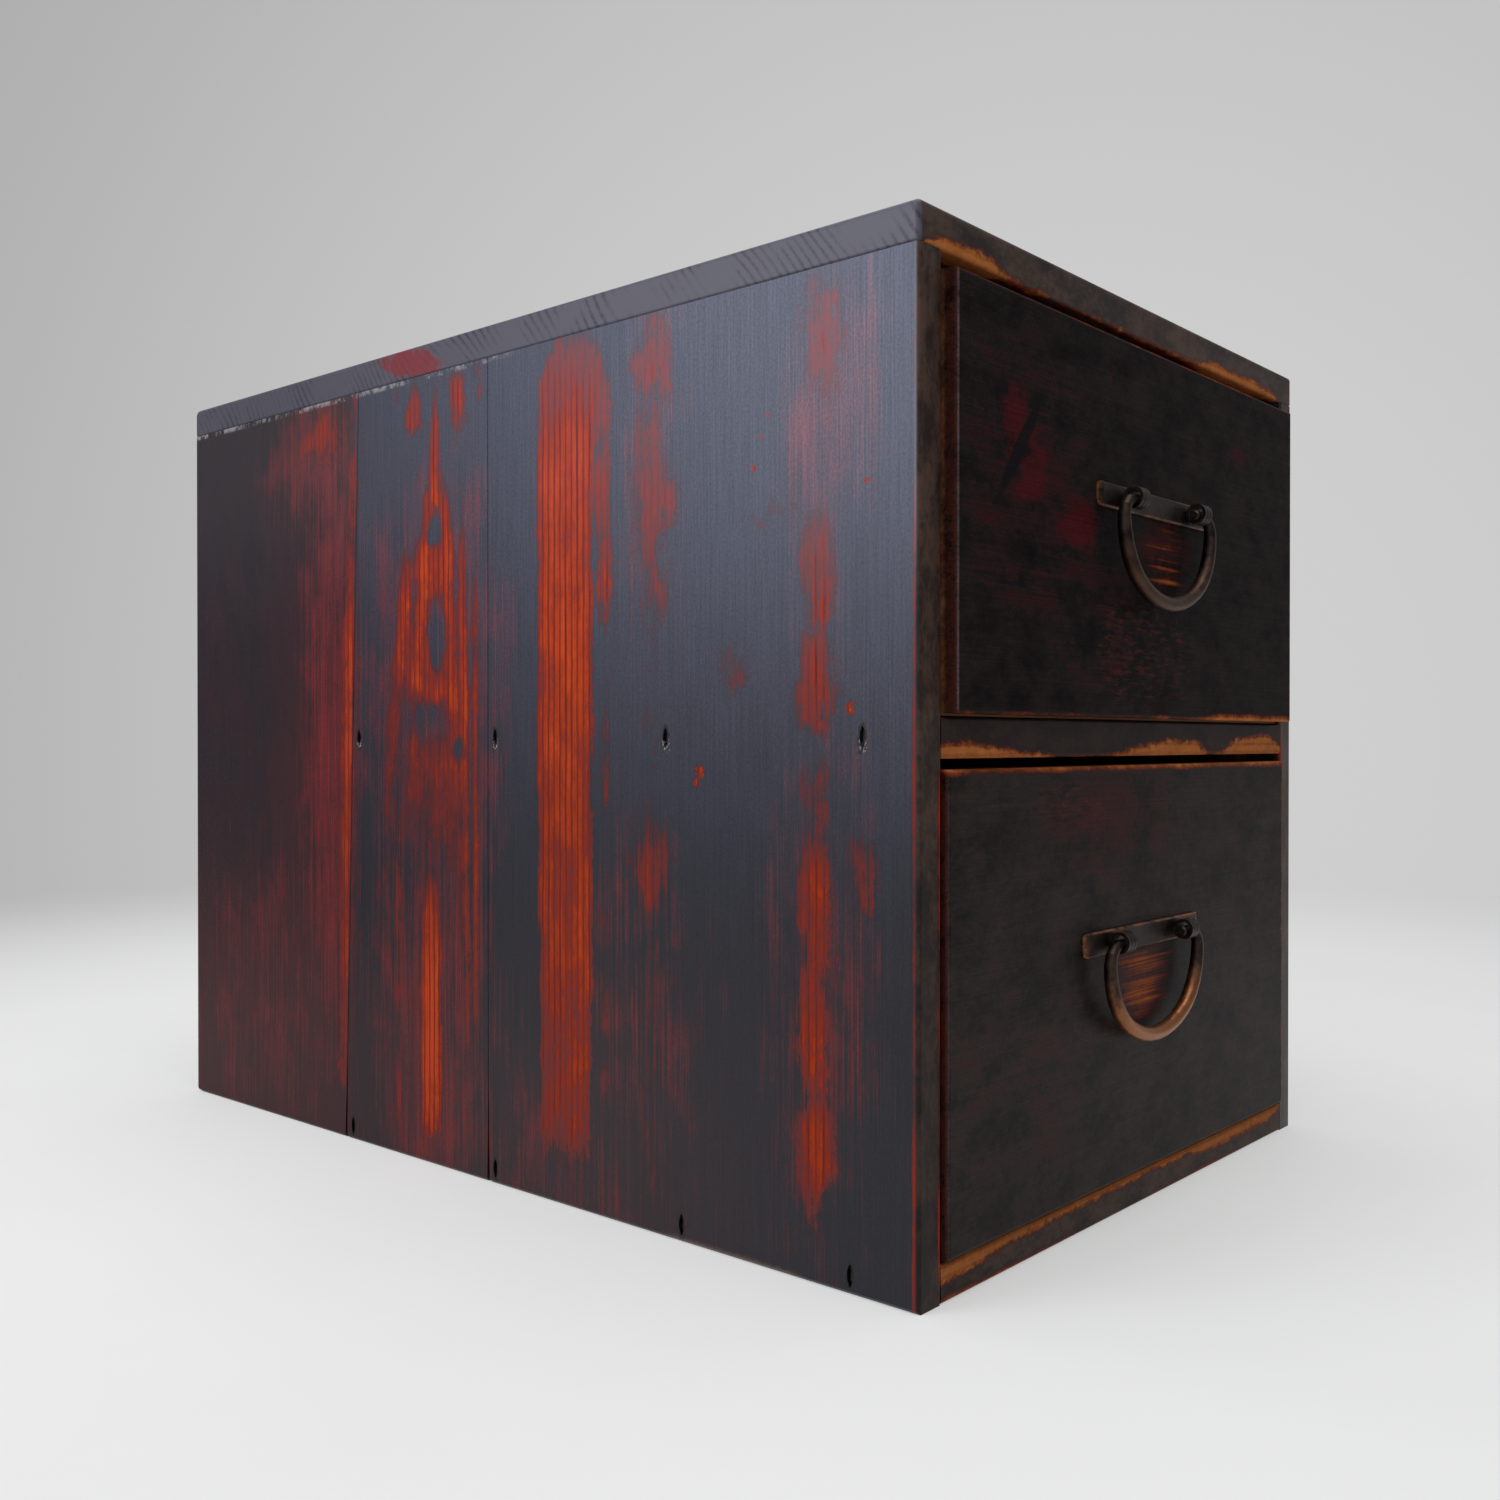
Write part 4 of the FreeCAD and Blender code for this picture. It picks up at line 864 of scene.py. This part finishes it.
# Wear of each drawer front: place, half sizes and level of its patches and strokes, and the height of its
# rubbed arrises. A dark stroke leans by so much for each millimetre of height.
STROKE_LEAN = 0.725
FRONT_MARKS = {
    "upper_drawer": {
        "lacquer": srgb(34, 28, 28),
        "patches": [((-104, 286), (12, 19), 0.75), ((-91, 273), (11, 18), 0.7), ((-60, 259), (18, 11), 0.75),
                    ((-29, 318), (5, 4), 0.6)],
        "dark strokes": [((-100.5, 279), (4.2, 20), 1.0)],
        "rubbed": [((8, 254), (20, 14), 0.3), ((8, 246), (18, 6), 0.5)],
        "rough": [((-5, 213), (46, 25), 1.0), ((-26, 214), (26, 22), 1.2)],
        "haze": [((-92, 262), (58, 66), 0.55), ((8, 255), (30, 18), 0.8), ((78, 303), (14, 8), 0.7),
                 ((-40, 225), (50, 30), 0.5)],
        "low arris": [(-140, 1.4), (0, 1.6), (42, 1.8), (60, 3.2), (120, 3.6), (138, 3.0)],
        "high arris": [(-140, 1.4), (140, 1.6)],
        "left arris": 0.1,
        "glint": 0.5,
        "right arris": 0.3,
        "gloss": 0.02,
        "rubbed plate": 0.45,
        "rubbed bail": 0.1},
    "lower_drawer": {
        "lacquer": srgb(42, 33, 29),
        "patches": [((-40, 148), (18, 9), 0.3)],
        "dark strokes": [],
        "rubbed": [((-4, 92), (21, 13), 0.4), ((-4, 82), (19, 8), 0.65)],
        "rough": [((-62, 158), (26, 12), 0.7)],
        "haze": [((-26, 152), (66, 28), 0.9), ((-90, 60), (60, 60), 0.4), ((-4, 92), (34, 28), 0.8)],
        "low arris": [(-140, 1.0), (140, 1.2)],
        "high arris": [(-140, 2.4), (0, 2.6), (140, 2.8)],
        "left arris": 0.15,
        "glint": 0.15,
        "right arris": 0.6,
        "gloss": 0.12,
        "rubbed plate": 0.8,
        "rubbed bail": 0.78},
}


def paint_drawer(name, facts):
    """Finishes one drawer with its pull."""
    paint(f"{name}_front", drawer_front_finish(name, facts, FRONT_MARKS[name]))
    side = bare_finish(f"{name}_side_wood", GRAIN_Y)
    cross = bare_finish(f"{name}_cross_wood", GRAIN_X)
    pegs = peg_finish()
    for piece in ("left_side", "right_side"):
        paint(f"{name}_{piece}", side)
    for piece in ("back", "bottom_front_board", "bottom_rear_board"):
        paint(f"{name}_{piece}", cross)
    for piece in ("corner_pegs", "bottom_pegs"):
        paint(f"{name}_{piece}", pegs)
    plate = pull_finish(f"{name}_plate_bronze", facts, FRONT_MARKS[name]["rubbed plate"], True)
    for piece in ("pull_plate", "left_eye", "right_eye"):
        paint(f"{name}_{piece}", plate)
    paint(f"{name}_bail", pull_finish(f"{name}_bail_bronze", facts, FRONT_MARKS[name]["rubbed bail"], False))


def backdrop_level(wiring, direction):
    """How bright the plain backdrop is in a direction."""
    way = wiring.node("VectorMath", {"operation": "NORMALIZE"}, {0: direction})
    facing = wiring.node("VectorMath", {"operation": "DOT_PRODUCT"}, {0: way, 1: BRIGHT_WAY}, output="Value")
    return wiring.ramp(facing * 0.5 + 0.5, BACKDROP)


def seen_rays(wiring):
    """1 for the rays that show the backdrop itself, 0 for those that only light things by it."""
    rays = ("Is Camera Ray", "Is Glossy Ray", "Is Transmission Ray")
    return wiring.most(*[wiring.node("LightPath", output=ray) for ray in rays])


def add_floor():
    """A round pale floor that fades into the backdrop far from the cabinet."""
    shape = bmesh.new()
    bmesh.ops.create_circle(shape, cap_ends=True, segments=FLOOR_SEGMENTS, radius=FLOOR_RADIUS)
    mesh = bpy.data.meshes.new("floor")
    shape.to_mesh(mesh)
    shape.free()
    floor = bpy.data.objects.new("floor", mesh)
    bpy.context.scene.collection.objects.link(floor)
    finish = Finish("pale_floor")
    scuffs = finish.noise((260.0, 260.0, 260.0), 6.0, 0.62)
    far = finish.step(finish.math("SQRT", finish.x * finish.x + finish.y * finish.y), FADE_NEAR, FADE_FAR)
    colour = finish.shade(FLOOR_WHITE, finish.ramp(scuffs, [(0.3, 0.95), (0.6, 1.0)]))
    finish.done(base_color=colour, roughness=0.6, specular_ior_level=0.2)
    from_middle = finish.node("VectorMath", {"operation": "SUBTRACT"}, {0: finish.place, 1: BACKDROP_MIDDLE})
    seen = finish.mix(far, FLOOR_SEEN, backdrop_level(finish, from_middle))
    glow = finish.node("Emission", values={"Color": seen})
    share = (far * (1.0 - FLOOR_GLOW) + FLOOR_GLOW) * seen_rays(finish)
    both = finish.node("MixShader", values={0: share, 1: Wire(finish, finish.shader.outputs[0]), 2: glow})
    finish.tree.links.new(both.socket, finish.tree.nodes["Material Output"].inputs["Surface"])
    mesh.materials.append(finish.material)


def add_lamp(name, place, aim, size, power, colour):
    """A soft rectangular lamp that faces its aim."""
    lamp = bpy.data.lights.new(name, "AREA")
    lamp.shape = "RECTANGLE"
    lamp.size = size[0]
    lamp.size_y = size[1]
    lamp.energy = power
    lamp.color = colour
    thing = bpy.data.objects.new(name, lamp)
    thing.location = place
    direction = [b - a for a, b in zip(place, aim)]
    level = math.hypot(direction[0], direction[1])
    thing.rotation_euler = (math.pi / 2 + math.atan2(direction[2], level), 0.0,
                            math.atan2(-direction[0], direction[1]))
    bpy.context.scene.collection.objects.link(thing)


def add_light():
    """A soft grey world, a broad lamp overhead and a window-like lamp at the left."""
    world = bpy.data.worlds.new("studio")
    world.use_nodes = True
    wiring = Wiring(world.node_tree)
    level = backdrop_level(wiring, wiring.node("TexCoord", output="Generated"))
    background = wiring.tree.nodes["Background"]
    wiring.tree.links.new(level.socket, background.inputs["Color"])
    fill = seen_rays(wiring) * (1.0 - WORLD_FILL) + WORLD_FILL
    wiring.tree.links.new(fill.socket, background.inputs["Strength"])
    bpy.context.scene.world = world
    for name, lamp in LAMPS.items():
        add_lamp(name, **lamp)


def add_camera():
    """The camera, where the photograph was taken from."""
    camera = bpy.data.cameras.new("camera")
    camera.lens = CAMERA_LENS
    camera.sensor_width = CAMERA_SENSOR
    camera.clip_start = CAMERA_CLIP
    thing = bpy.data.objects.new("camera", camera)
    thing.location = CAMERA_PLACE
    thing.rotation_euler = (math.radians(90.0 + CAMERA_PITCH), 0.0, math.radians(CAMERA_TURN))
    bpy.context.scene.collection.objects.link(thing)
    bpy.context.scene.camera = thing


paint_case()
for drawer, drawer_facts in DRAWERS.items():
    paint_drawer(drawer, drawer_facts)
add_floor()
add_light()
add_camera()
bpy.context.scene.view_settings.view_transform = "Standard"
